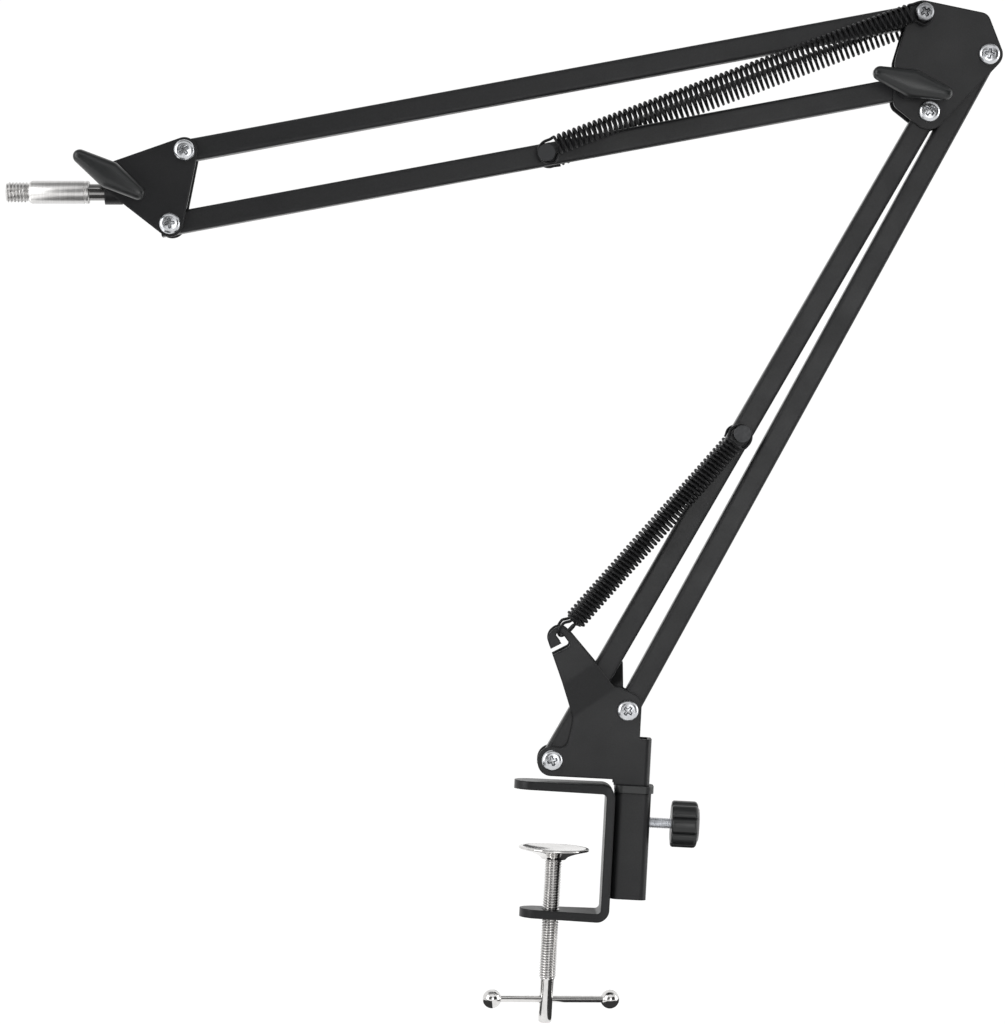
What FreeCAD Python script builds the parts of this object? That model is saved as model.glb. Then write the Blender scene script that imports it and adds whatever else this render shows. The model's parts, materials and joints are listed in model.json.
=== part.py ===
import FreeCAD
import Part
import math
import os

# Spring-balanced microphone boom arm with a desk clamp, in millimetres.
# X runs along the clamp's throat towards the socket, Y away from the front, Z up.
# The origin is on the underside of the clamp's upper jaw, on the axis of the clamp screw.
# The arm lies in the XZ plane; "near" pieces lie at negative Y and "far" pieces at positive Y.

Vector = FreeCAD.Vector
ORIGIN = Vector(0, 0, 0)
X_AXIS = Vector(1, 0, 0)
Y_AXIS = Vector(0, 1, 0)
Z_AXIS = Vector(0, 0, 1)

# Clearances
PIVOT_CLEARANCE = 0.1
THREAD_CLEARANCE = 0.05
SWIVEL_CLEARANCE = 0.05
FACE_CLEARANCE = 0.1
SPRING_CLEARANCE = 0.3
OPEN_PIVOT_CLEARANCE = 1.45

# Arm bars: square steel tube with flanged plastic bushes at the pivots
BAR_WIDTH = 10.4
BAR_WALL = 1.0
BAR_CORNER_RADIUS = 1.5
BAR_END_OVERHANG = 5.0
BAR_SPAN = 350.0
BUSH_WALL = 1.0
BUSH_DEPTH = 3.0
BUSH_FLANGE_RADIUS = 4.8
BUSH_FLANGE_THICKNESS = 0.6

# Sheet brackets
SHEET = 1.8

# Pivot screws and nuts
SCREW_RADIUS = 2.5
SCREW_HEAD_RADIUS = 5.0
SCREW_HEAD_HEIGHT = 3.6
SCREW_HEAD_ROUND = 1.8
RECESS_LENGTH = 5.4
RECESS_WIDTH = 1.1
RECESS_DEPTH = 1.9
NUT_ACROSS_FLATS = 8.0
NUT_HEIGHT = 4.0
SCREW_END_LENGTH = 1.2

# Rest pose and pivot places
BASE_FRONT_X = -3.2
BASE_FRONT_Z = 14.3
BASE_LINK_X = 34.0
BASE_LINK_Z = 25.1
LOWER_ARM_ANGLE = 62.9
ELBOW_LINK_LENGTH = 38.6
ELBOW_LINK_ANGLE = 46.8
ELBOW_KNOB_X = -10.2
ELBOW_KNOB_Z = 11.1
UPPER_LINK_LENGTH = 34.6
UPPER_LINK_ANGLE = 81.7
UPPER_ARM_ANGLE = 13.54
HEAD_KNOB_X = -27.8
HEAD_KNOB_Z = 20.1

# Springs
SPRING_WIRE_RADIUS = 0.7
SPRING_OUTER_RADIUS = 4.8
SPRING_LOOP_RADIUS = 5.3
SPRING_LOOP_LEAD = 2.4
SPRING_LOOP_STRAIGHT = 1.6
SPRING_LEAVE_ANGLE = 29.0
SEAT_LOOP_ANGLE = 62.0
SEAT_COIL_OFFSET = 1.3
UPPER_COIL_OFFSET = 1.9
LOWER_SPRING_CURLS = 20
UPPER_SPRING_CURLS = 28
LOWER_SPRING_PIN_SPAN = 176.3
UPPER_SPRING_PIN_SPAN = 171.8
SPRING_PIN_RADIUS = 2.5
SPRING_PIN_HEAD_RADIUS = 4.0
SPRING_PIN_HEAD_HEIGHT = 1.6
SPRING_SPACER_WALL = 1.0

# Desk clamp
STRAP_THICKNESS = 4.0
STRAP_WIDTH = 25.0
STRAP_BEND_RADIUS = 2.0
JAW_REACH = 20.2
LEG_REACH = 14.7
JAW_TIP_RADIUS = 9.0
THROAT = 56.0
STRAP_INNER_X = 23.0
SOCKET_WIDTH = 17.0
SOCKET_WALL = 1.5
SOCKET_CORNER_RADIUS = 3.5
SOCKET_HEIGHT = 50.0
SOCKET_DROP = 3.0
BUSH_RIM_HEIGHT = 3.3
BUSH_RIM_OVERHANG = 1.0

# Clamp screw, pad and tommy bar
CLAMP_SCREW_RADIUS = 4.0
CLAMP_SCREW_END_RADIUS = 3.1
CLAMP_SCREW_THREAD_LENGTH = 58.0
CLAMP_SCREW_PLAIN_LENGTH = 20.5
PAD_RADIUS = 16.6
PAD_HEIGHT = 5.6
PAD_HUB_RADIUS = 6.0
PAD_RIM_THICKNESS = 1.3
PAD_FLOOR_THICKNESS = 1.6
PAD_GAP = 27.0
TOMMY_RADIUS = 1.55
TOMMY_LENGTH = 58.8
TOMMY_BALL_RADIUS = 4.4
TOMMY_OFFSET = 2.6
TOMMY_TURN = 18.0
TOMMY_RISE = 10.9
TOMMY_HOLE_CLEARANCE = 0.25

# Lock knob
LOCK_DROP = 14.1
LOCK_SCREW_RADIUS = 2.5
LOCK_KNOB_RADIUS = 10.9
LOCK_KNOB_LENGTH = 13.0
LOCK_KNOB_STANDOFF = 10.2
LOCK_KNOB_FLUTES = 8
LOCK_FLUTE_RADIUS = 2.6
LOCK_KNOB_BEVEL = 2.4
LOCK_NUT_HEIGHT = 1.1

# Turret bracket
TURRET_FRONT_BOSS_RADIUS = 6.8
TURRET_REAR_BOSS_RADIUS = 6.4
TURRET_SPINE_HEIGHT = 22.0
TURRET_SPINE_RADIUS = 3.2
TURRET_FOOT_STEP = 2.6
TURRET_FOOT_MARGIN = 1.0
SWIVEL_PIN_RADIUS = 5.5
SWIVEL_PIN_RISE = 18.0
SWIVEL_PIN_DEPTH = 44.0
HORN_FLARE = 4.0
HORN_CREASE_ANGLE = 38.0
HORN_CREASE_LOW = 24.1
HORN_CREASE_HIGH = 39.4
HORN_BEND_RADIUS = 6.0
HORN_SEAT_X = 0.2
HORN_SEAT_Z = 58.8
HORN_SLOT_RADIUS = 1.5
HORN_SLOT_MOUTH_X = -4.6
HORN_SLOT_MOUTH_Z = -8.8
HORN_SLOT_TURN_X = 3.4
HORN_SLOT_TURN_Z = -4.2
CORNER_RELIEF = 0.4

# Corners of the turret's side plates as (offset, rounding): the shoulders are measured from the rear pivot,
# the horn from the spring's seat and the neck from the front pivot
NEAR_SHOULDER = [(Vector(-4.5, 0, 10.6), 2.5), (Vector(-7.0, 0, 10.8), 2.0)]
FAR_SHOULDER = [(Vector(-2.1, 0, 9.9), 1.0), (Vector(-2.9, 0, 23.6), 1.5), (Vector(-13.0, 0, 18.6), 1.5)]
HORN_CORNERS = [
    (Vector(6.2, 0, 0.6), 4.0),
    (Vector(0.3, 0, 5.6), 5.0),
    (Vector(-6.2, 0, -0.4), 5.5),
    (Vector(-2.0, 0, -11.0), 6.0),
    (Vector(2.9, 0, -23.0), 12.0),
]
FRONT_NECK = [(Vector(9.0, 0, 19.5), 12.0), (Vector(6.4, 0, 6.0), 4.0)]

# Elbow and head plates
ELBOW_TOP_BOSS_RADIUS = 6.2
ELBOW_REAR_BOSS_RADIUS = 6.5
ELBOW_FRONT_BOSS_RADIUS = 8.3
ELBOW_SIDE_RADIUS = 5.0
ELBOW_CORNER_X = 26.8
ELBOW_CORNER_Z = -2.9
ELBOW_SIDE_HIGH_X = -1.9
ELBOW_SIDE_HIGH_Z = 11.4
ELBOW_SIDE_LOW_X = -1.8
ELBOW_SIDE_LOW_Z = -6.6
HEAD_BOSS_RADIUS = 6.2
HEAD_TIP_RADIUS = 6.8

# Wing knobs
WING_SPAN = 38.0
WING_TIP_RADIUS = 3.3
WING_HUB_RADIUS = 6.4
WING_HEIGHT = 10.0
WING_LIFT = 9.8
WING_EDGE_ROUND = 1.4
WING_BOLT_DEPTH = 13.0
WASHER_RADIUS = 6.0
WASHER_THICKNESS = 1.0
ELBOW_WING_TURN = -14.0
HEAD_WING_TURN = -29.0

# Microphone rod
ROD_RADIUS = 3.9
ROD_TILT = 3.0
ROD_INNER_LENGTH = 8.0
ROD_VISIBLE_LENGTH = 11.3
SADDLE_WALL = 1.7
SADDLE_LENGTH = 8.0
SADDLE_EAR = 2.5
SLEEVE_RADIUS = 5.35
SLEEVE_LENGTH = 28.0
SLEEVE_OVERLAP = 12.0
STUD_RADIUS = 4.76
STUD_LENGTH = 10.8
STUD_CHAMFER = 0.8


def polar(length, degrees):
    """Vector of a length at an angle above +X in the XZ plane."""
    angle = math.radians(degrees)
    return Vector(length * math.cos(angle), 0, length * math.sin(angle))


# Pivots worked out from the driving values
BASE_FRONT_PIVOT = Vector(BASE_FRONT_X, 0, BASE_FRONT_Z)
BASE_REAR_PIVOT = BASE_FRONT_PIVOT + Vector(BASE_LINK_X, 0, BASE_LINK_Z)
ELBOW_FRONT_PIVOT = BASE_FRONT_PIVOT + polar(BAR_SPAN, LOWER_ARM_ANGLE)
ELBOW_REAR_PIVOT = ELBOW_FRONT_PIVOT + polar(ELBOW_LINK_LENGTH, ELBOW_LINK_ANGLE)
ELBOW_KNOB_PIVOT = ELBOW_FRONT_PIVOT + Vector(ELBOW_KNOB_X, 0, ELBOW_KNOB_Z)
ELBOW_TOP_PIVOT = ELBOW_KNOB_PIVOT + polar(UPPER_LINK_LENGTH, UPPER_LINK_ANGLE)
HEAD_LOW_PIVOT = ELBOW_KNOB_PIVOT - polar(BAR_SPAN, UPPER_ARM_ANGLE)
HEAD_TOP_PIVOT = HEAD_LOW_PIVOT + polar(UPPER_LINK_LENGTH, UPPER_LINK_ANGLE)
HEAD_KNOB_PIVOT = HEAD_LOW_PIVOT + Vector(HEAD_KNOB_X, 0, HEAD_KNOB_Z)

# Layers across the arm, measured from its middle plane
PLATE_INNER = BAR_WIDTH / 2 + BUSH_FLANGE_THICKNESS + FACE_CLEARANCE
PLATE_OUTER = PLATE_INNER + SHEET
HORN_MIDDLE = PLATE_INNER + SHEET / 2 + HORN_FLARE
LOWER_SPRING_PLANE = HORN_MIDDLE
UPPER_SPRING_PLANE = PLATE_OUTER + SPRING_CLEARANCE + SPRING_OUTER_RADIUS
SPRING_COIL_RADIUS = SPRING_OUTER_RADIUS - SPRING_WIRE_RADIUS
SEAT = BASE_FRONT_PIVOT + Vector(HORN_SEAT_X, 0, HORN_SEAT_Z)
LOWER_SPRING_PIN = BASE_FRONT_PIVOT + polar(LOWER_SPRING_PIN_SPAN, LOWER_ARM_ANGLE)
UPPER_SPRING_PIN = ELBOW_KNOB_PIVOT - polar(UPPER_SPRING_PIN_SPAN, UPPER_ARM_ANGLE)

# Clamp places
STRAP_OUTER_X = STRAP_INNER_X + STRAP_THICKNESS
SOCKET_X = STRAP_OUTER_X + SOCKET_WIDTH / 2
SOCKET_TOP = STRAP_THICKNESS - SOCKET_DROP
SOCKET_BORE_RADIUS = SWIVEL_PIN_RADIUS + SWIVEL_CLEARANCE
TURRET_FLOOR = SOCKET_TOP + BUSH_RIM_HEIGHT


def cylinder_y(place, radius, y_start, y_end):
    """Cylinder along Y at a place in the XZ plane."""
    return Part.makeCylinder(radius, y_end - y_start, Vector(place.x, y_start, place.z), Y_AXIS)


def ring_y(place, outer, inner, y_start, y_end):
    """Plain tube along Y."""
    return cylinder_y(place, outer, y_start, y_end).cut(cylinder_y(place, inner, y_start, y_end))


def prism_y(wire, y_start, y_end):
    """Closed wire in the XZ plane, extruded from one Y to another."""
    face = Part.Face(wire)
    face.translate(Vector(0, y_start, 0))
    return face.extrude(Vector(0, y_end - y_start, 0))


def mirrored_y(shape):
    """Copy of a shape on the other side of the arm's middle plane."""
    return shape.mirror(ORIGIN, Y_AXIS)


def belt(circles):
    """Closed wire round (centre, radius) circles of a convex outline, listed anticlockwise in XZ."""
    tangents = []
    for index, (start, start_radius) in enumerate(circles):
        end, end_radius = circles[(index + 1) % len(circles)]
        along = end - start
        distance = along.Length
        heading = math.atan2(along.z, along.x)
        normal = heading - math.acos((start_radius - end_radius) / distance)
        out = Vector(math.cos(normal), 0, math.sin(normal))
        tangents.append((start + out * start_radius, end + out * end_radius, normal))
    edges = []
    for index, (leave, arrive, normal) in enumerate(tangents):
        centre, radius = circles[(index + 1) % len(circles)]
        next_leave, _, next_normal = tangents[(index + 1) % len(circles)]
        edges.append(Part.makeLine(leave, arrive))
        turn = (next_normal - normal) % (2 * math.pi)
        middle = normal + turn / 2
        through = centre + Vector(math.cos(middle), 0, math.sin(middle)) * radius
        edges.append(Part.Arc(arrive, through, next_leave).toShape())
    return Part.Wire(Part.__sortEdges__(edges))


def rounded_outline(corners):
    """Closed wire through (point, radius) corners of any flat outline, each corner rounded by an arc."""
    count = len(corners)
    cuts = []
    for index, (point, radius) in enumerate(corners):
        before = (corners[index - 1][0] - point).normalize()
        after = (corners[(index + 1) % count][0] - point).normalize()
        half = before.getAngle(after) / 2
        reach = radius / math.tan(half)
        middle = point + (before + after).normalize() * (radius / math.sin(half) - radius)
        cuts.append((point + before * reach, middle, point + after * reach, radius))
    edges = []
    for index, (start, middle, end, radius) in enumerate(cuts):
        if radius > 0:
            edges.append(Part.Arc(start, middle, end).toShape())
        edges.append(Part.makeLine(end, cuts[(index + 1) % count][0]))
    return Part.Wire(edges)


def capsule(start, end, radius, y_start, y_end):
    """Round-ended slot shape between two places, as a solid along Y."""
    return prism_y(belt([(start, radius), (end, radius)]), y_start, y_end)


def rounded_square(width, corner):
    """Closed wire of a square section in the YZ plane, centred on the X axis."""
    half = width / 2
    points = [Vector(0, -half, -half), Vector(0, half, -half), Vector(0, half, half), Vector(0, -half, half)]
    return rounded_outline([(point, corner) for point in points])


def hexagon_y(place, across_flats, y_start, y_end):
    """Hexagonal prism along Y."""
    radius = across_flats / math.sqrt(3)
    corners = [place + polar(radius, 60 * step) for step in range(6)]
    return prism_y(Part.makePolygon(corners + corners[:1]), y_start, y_end)


def bar(start, end, start_hole, end_hole, extra_hole=None):
    """Square tube between two pivots, cut square, with a cross hole at each pivot."""
    along = end - start
    span = along.Length
    inner_corner = BAR_CORNER_RADIUS - BAR_WALL
    length = span + 2 * BAR_END_OVERHANG
    tube = Part.Face(rounded_square(BAR_WIDTH, BAR_CORNER_RADIUS)).extrude(X_AXIS * length)
    inside = rounded_square(BAR_WIDTH - 2 * BAR_WALL, inner_corner)
    tube = tube.cut(Part.Face(inside).extrude(X_AXIS * length))
    tube.translate(X_AXIS * -BAR_END_OVERHANG)
    holes = [(0, start_hole), (span, end_hole)]
    if extra_hole:
        holes.append(extra_hole)
    for place, radius in holes:
        tube = tube.cut(cylinder_y(Vector(place, 0, 0), radius, -BAR_WIDTH, BAR_WIDTH))
    tube.rotate(ORIGIN, Y_AXIS, -math.degrees(math.atan2(along.z, along.x)))
    tube.translate(start)
    return tube


BUSH_BORE = SCREW_RADIUS + PIVOT_CLEARANCE
BUSH_OUTER = BUSH_BORE + BUSH_WALL
OPEN_HOLE = SCREW_RADIUS + OPEN_PIVOT_CLEARANCE


def bushes(place):
    """Pair of flanged bushes pressed into a bar from both sides."""
    face = BAR_WIDTH / 2
    sleeve = cylinder_y(place, BUSH_OUTER, face - BUSH_DEPTH, face)
    flange = cylinder_y(place, BUSH_FLANGE_RADIUS, face, face + BUSH_FLANGE_THICKNESS)
    bush = sleeve.fuse(flange).cut(cylinder_y(place, BUSH_BORE, 0, PLATE_INNER)).removeSplitter()
    return [bush, mirrored_y(bush)]


def open_washers(place):
    """Pair of flat washers on a bar, with the wide bore of the open pivot."""
    face = BAR_WIDTH / 2
    washer = ring_y(place, BUSH_FLANGE_RADIUS, OPEN_HOLE, face, face + BUSH_FLANGE_THICKNESS)
    return [washer, mirrored_y(washer)]


def pivot_screw(place, seat):
    """Pan head screw with a cross recess; its head sits at -seat and its thread passes the nut."""
    head = cylinder_y(place, SCREW_HEAD_RADIUS, -seat - SCREW_HEAD_HEIGHT, -seat)
    crown = [edge for edge in head.Edges if edge.BoundBox.YMax < -seat - SCREW_HEAD_HEIGHT / 2]
    head = head.makeFillet(SCREW_HEAD_ROUND, crown)
    top = -seat - SCREW_HEAD_HEIGHT
    for length, width in ((RECESS_LENGTH, RECESS_WIDTH), (RECESS_WIDTH, RECESS_LENGTH)):
        corner = Vector(place.x - length / 2, top, place.z - width / 2)
        head = head.cut(Part.makeBox(length, RECESS_DEPTH, width, corner))
    shank = cylinder_y(place, SCREW_RADIUS, -seat, seat + NUT_HEIGHT + SCREW_END_LENGTH)
    return head.fuse(shank).removeSplitter()


def pivot_nut(place, seat):
    """Hexagon nut on the far side."""
    nut = hexagon_y(place, NUT_ACROSS_FLATS, seat, seat + NUT_HEIGHT)
    return nut.cut(cylinder_y(place, SCREW_RADIUS + THREAD_CLEARANCE, seat, seat + NUT_HEIGHT))


def flat_plate(wire, holes):
    """Near plate of a bracket: an outline with cross holes."""
    plate = prism_y(wire, -PLATE_OUTER, -PLATE_INNER)
    for place in holes:
        plate = plate.cut(cylinder_y(place, SCREW_RADIUS + PIVOT_CLEARANCE, -PLATE_OUTER, -PLATE_INNER))
    return plate


def wing_knob(place, turn):
    """Two-winged knob on a washer at the near plate, with a blind bore for its bolt."""
    base = -PLATE_OUTER - WASHER_THICKNESS
    wing_base = base - WING_LIFT
    tip = polar(WING_SPAN / 2 - WING_TIP_RADIUS, turn)
    outline = belt([(place + tip, WING_TIP_RADIUS), (place, WING_HUB_RADIUS), (place - tip, WING_TIP_RADIUS),
                    (place, WING_HUB_RADIUS)])
    wings = prism_y(outline, wing_base - WING_HEIGHT, wing_base)
    crown = [edge for edge in wings.Edges if edge.BoundBox.YLength < WING_HEIGHT / 2]
    wings = wings.makeFillet(WING_EDGE_ROUND, crown)
    hub = cylinder_y(place, WING_HUB_RADIUS - WING_EDGE_ROUND, wing_base - WING_HEIGHT / 2, base)
    bore = cylinder_y(place, SCREW_RADIUS + THREAD_CLEARANCE, base - WING_BOLT_DEPTH, base)
    return wings.fuse(hub).cut(bore).removeSplitter()


def wing_bolt(place):
    """Plain bolt held in the wing knob; its thread ends past the far nut."""
    start = -PLATE_OUTER - WASHER_THICKNESS - WING_BOLT_DEPTH
    return cylinder_y(place, SCREW_RADIUS, start, PLATE_OUTER + NUT_HEIGHT + SCREW_END_LENGTH)


def wing_washer(place):
    """Flat washer between a wing knob and the near plate."""
    bore = SCREW_RADIUS + PIVOT_CLEARANCE
    return ring_y(place, WASHER_RADIUS, bore, -PLATE_OUTER - WASHER_THICKNESS, -PLATE_OUTER)


def arc_through(start, tangent, end):
    """Edge that leaves start along a tangent and reaches end: a circle arc, or a line if end is ahead."""
    chord = end - start
    side = chord - tangent * chord.dot(tangent)
    if side.Length < 1e-6:
        return Part.makeLine(start, end)
    side.normalize()
    radius = chord.dot(chord) / (2 * chord.dot(side))
    centre = start + side * radius
    middle = (start + end) * 0.5 - centre
    if chord.dot(tangent) < 0:
        middle = middle * -1
    if middle.Length < 1e-6:
        middle = tangent
    return Part.Arc(start, centre + middle.normalize() * radius, end).toShape()


def biarc(start, start_tangent, end, end_tangent):
    """Two arcs from one point and heading to another, with one heading where they meet."""
    chord = end - start
    both = start_tangent + end_tangent
    spread = 2 * (1 - start_tangent.dot(end_tangent))
    along = chord.dot(both)
    if spread < 1e-9:
        if (chord - start_tangent * chord.dot(start_tangent)).Length < 1e-6:
            return [Part.makeLine(start, end)]
        reach = chord.dot(chord) / (2 * along)
    else:
        reach = (math.sqrt(along * along + spread * chord.dot(chord)) - along) / spread
    meet = (start + start_tangent * reach + end - end_tangent * reach) * 0.5
    first = arc_through(start, start_tangent, meet)
    second = arc_through(end, end_tangent * -1, meet)
    second.reverse()
    return [first, second]


def loop_nodes(loop_angle, offset):
    """Points and headings of an end loop in (along, aside, across) axes, from the coil to the wire's tip.

    The loop lies in a plane at loop_angle about the coil's axis, and its middle is offset from that axis.
    """
    leave = math.radians(loop_angle - SPRING_LEAVE_ANGLE)
    plane = math.radians(loop_angle)
    aside, across = math.cos(plane), math.sin(plane)
    lead = SPRING_LOOP_LEAD
    ring = lead + SPRING_LOOP_STRAIGHT
    radius = SPRING_LOOP_RADIUS
    tip = ring - 2 * SPRING_WIRE_RADIUS

    def flat(along, out):
        return Vector(along, out * aside, out * across)

    middle = Vector(0, -offset, 0)
    nodes = [
        (middle + flat(lead, radius), flat(1, 0)),
        (middle + flat(ring, radius), flat(1, 0)),
        (middle + flat(ring + radius, 0), flat(0, -1)),
        (middle + flat(ring, -radius), flat(-1, 0)),
        (middle + flat(tip, -radius), flat(-1, 0)),
    ]
    return leave, nodes


def spring_nodes(length, curls, start_loop, start_offset, end_offset):
    """Points and headings of a whole spring; its coil starts at along = 0 and ends at length."""
    end_leave, end_nodes = loop_nodes(0, end_offset)
    start_leave, start_nodes = loop_nodes(-start_loop, start_offset)
    start_leave = -start_leave
    sweep = end_leave - start_leave + 2 * math.pi * curls
    steps = math.ceil(sweep / (math.pi / 2))
    rise = length / sweep
    nodes = []
    for point, heading in reversed(start_nodes):
        nodes.append((Vector(-point.x, point.y, -point.z), Vector(heading.x, -heading.y, heading.z)))
    for step in range(steps + 1):
        turned = sweep * step / steps
        angle = start_leave + turned
        out = Vector(0, math.cos(angle), math.sin(angle)) * SPRING_COIL_RADIUS
        heading = Vector(rise, -out.z, out.y).normalize()
        nodes.append((Vector(rise * turned, 0, 0) + out, heading))
    for point, heading in end_nodes:
        nodes.append((point + Vector(length, 0, 0), heading))
    return nodes


def least_gap(path, name):
    """Print the least gap of a spring's wire to itself, measured on points along its path."""
    points = path.discretize(Distance=0.5)
    skip = int(math.pi * SPRING_COIL_RADIUS)
    least = min(
        points[first].distanceToPoint(points[second])
        for first in range(len(points))
        for second in range(first + skip, min(first + 12 * skip, len(points)))
    )
    print(f"{name}: least gap of the wire to itself {least - 2 * SPRING_WIRE_RADIUS:.2f} mm")


def spring(start, end, curls, start_loop, offsets, plane, name):
    """Tension spring between two places: one wire with a coil and an end loop at each place.

    The coil's axis passes each place at an offset, and the loops reach back over it to the places.
    """
    reach = SPRING_LOOP_LEAD + SPRING_LOOP_STRAIGHT + SPRING_LOOP_RADIUS
    start_offset, end_offset = offsets
    aside = Y_AXIS.cross(end - start).normalize()
    axis_start = start + aside * start_offset
    along = end + aside * end_offset - axis_start
    length = along.Length - 2 * reach
    along.normalize()
    nodes = spring_nodes(length, curls, start_loop, start_offset, end_offset)
    edges = []
    for (point, heading), (next_point, next_heading) in zip(nodes, nodes[1:]):
        edges.extend(biarc(point, heading, next_point, next_heading))
    path = Part.Wire(edges)
    least_gap(path, name)
    circle = Part.Wire(Part.makeCircle(SPRING_WIRE_RADIUS, nodes[0][0], nodes[0][1]))
    wire = path.makePipeShell([circle], True, False)
    solid = Part.Solid(wire) if wire.ShapeType == "Shell" else wire
    turn = FreeCAD.Rotation(along, Y_AXIS.cross(along), Y_AXIS, "XYZ")
    solid.Placement = FreeCAD.Placement(ORIGIN, turn)
    solid.translate(axis_start + along * reach + Y_AXIS * plane)
    return solid


def spring_pin(place, plane):
    """Cross pin through a bar with a head outside each spring loop."""
    head = plane + SPRING_WIRE_RADIUS + SPRING_CLEARANCE
    end = head + SPRING_PIN_HEAD_HEIGHT
    pin = cylinder_y(place, SPRING_PIN_RADIUS, -head, head)
    for start in (-end, head):
        pin = pin.fuse(cylinder_y(place, SPRING_PIN_HEAD_RADIUS, start, start + SPRING_PIN_HEAD_HEIGHT))
    return pin.removeSplitter()


def spring_spacers(place, face, plane):
    """Pair of tubes that hold the spring loops off a bar or a plate."""
    bore = SPRING_PIN_RADIUS + THREAD_CLEARANCE
    end = plane - SPRING_WIRE_RADIUS - SPRING_CLEARANCE
    spacer = ring_y(place, bore + SPRING_SPACER_WALL, bore, face, end)
    return [spacer, mirrored_y(spacer)]


def loop_place(place, towards):
    """Middle of the wire at the far end of a loop that hangs on a pin, pulled towards the other end."""
    pull = (towards - place).normalize()
    return place - pull * (SPRING_PIN_RADIUS + SPRING_WIRE_RADIUS + SPRING_CLEARANCE)


def clamp_frame():
    """C-shaped strap with two tongue-ended jaws; the lower one is threaded for the clamp screw."""
    top = STRAP_THICKNESS
    bottom = -THROAT - STRAP_THICKNESS
    outer = STRAP_BEND_RADIUS + STRAP_THICKNESS
    corners = [
        (Vector(-JAW_REACH, 0, top), 0),
        (Vector(-JAW_REACH, 0, 0), 0),
        (Vector(STRAP_INNER_X, 0, 0), STRAP_BEND_RADIUS),
        (Vector(STRAP_INNER_X, 0, -THROAT), STRAP_BEND_RADIUS),
        (Vector(-LEG_REACH, 0, -THROAT), 0),
        (Vector(-LEG_REACH, 0, bottom), 0),
        (Vector(STRAP_OUTER_X, 0, bottom), outer),
        (Vector(STRAP_OUTER_X, 0, top), outer),
    ]
    half = STRAP_WIDTH / 2
    frame = prism_y(rounded_outline(corners), -half, half)
    for reach, floor in ((JAW_REACH, -THROAT / 2), (LEG_REACH, bottom)):
        frame = frame.cut(jaw_trim(reach, floor))
    bore = Part.makeCylinder(CLAMP_SCREW_RADIUS + FACE_CLEARANCE, 2 * STRAP_THICKNESS, Vector(0, 0, bottom))
    return frame.cut(bore)


def jaw_trim(reach, floor):
    """What is cut from the sides of a jaw so that it narrows to a round tip; it spans half the throat."""
    half = STRAP_WIDTH / 2
    height = THROAT / 2 + STRAP_THICKNESS
    block = Part.makeBox(reach + STRAP_INNER_X, STRAP_WIDTH, height, Vector(-reach, -half, floor))
    tip = Vector(JAW_TIP_RADIUS - reach, 0, 0)
    back = STRAP_INNER_X
    away = math.atan2(half - JAW_TIP_RADIUS, back - tip.x)
    side = Vector(-math.sin(away), math.cos(away), 0) * JAW_TIP_RADIUS
    left = tip + side
    right = Vector(left.x, -left.y, 0)
    nose = Vector(-reach, 0, 0)
    edges = [
        Part.makeLine(Vector(back, half, 0), left),
        Part.Arc(left, nose, right).toShape(),
        Part.makeLine(right, Vector(back, -half, 0)),
        Part.makeLine(Vector(back, -half, 0), Vector(back, half, 0)),
    ]
    tongue = Part.Face(Part.Wire(edges)).extrude(Z_AXIS * height)
    tongue.translate(Z_AXIS * floor)
    return block.cut(tongue)


def square_z(width, corner, z_start, z_end):
    """Rounded square prism along Z on the socket's axis."""
    half = width / 2
    points = [Vector(-half, -half, 0), Vector(half, -half, 0), Vector(half, half, 0), Vector(-half, half, 0)]
    face = Part.Face(rounded_outline([(point, corner) for point in points]))
    face.translate(Vector(SOCKET_X, 0, z_start))
    return face.extrude(Z_AXIS * (z_end - z_start))


def socket_bore(z_start, z_end):
    """Room for the swivel pin."""
    return Part.makeCylinder(SOCKET_BORE_RADIUS, z_end - z_start, Vector(SOCKET_X, 0, z_start))


LOCK_Z = SOCKET_TOP - LOCK_DROP
SOCKET_SIDE_X = SOCKET_X + SOCKET_WIDTH / 2


def cylinder_x(radius, x_start, x_end):
    """Cylinder along X on the lock screw's axis."""
    return Part.makeCylinder(radius, x_end - x_start, Vector(x_start, 0, LOCK_Z), X_AXIS)


def lock_hole(clearance):
    """Cross hole for the lock screw, from the swivel pin's bore out through the socket's side."""
    return cylinder_x(LOCK_SCREW_RADIUS + clearance, SOCKET_X, SOCKET_SIDE_X)


def lock_nut_form(across_flats, height):
    """Hexagonal prism against the inside of the socket's side, round the lock screw."""
    nut = hexagon_y(ORIGIN, across_flats, -height, 0)
    nut.rotate(ORIGIN, Z_AXIS, -90)
    nut.translate(Vector(SOCKET_SIDE_X - SOCKET_WALL, 0, LOCK_Z))
    return nut


def socket_tube():
    """Square tube welded to the back of the strap."""
    bottom = SOCKET_TOP - SOCKET_HEIGHT
    inside = SOCKET_WIDTH - 2 * SOCKET_WALL
    tube = square_z(SOCKET_WIDTH, SOCKET_CORNER_RADIUS, bottom, SOCKET_TOP)
    tube = tube.cut(square_z(inside, SOCKET_CORNER_RADIUS - SOCKET_WALL, bottom, SOCKET_TOP))
    return tube.cut(lock_hole(PIVOT_CLEARANCE))


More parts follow.
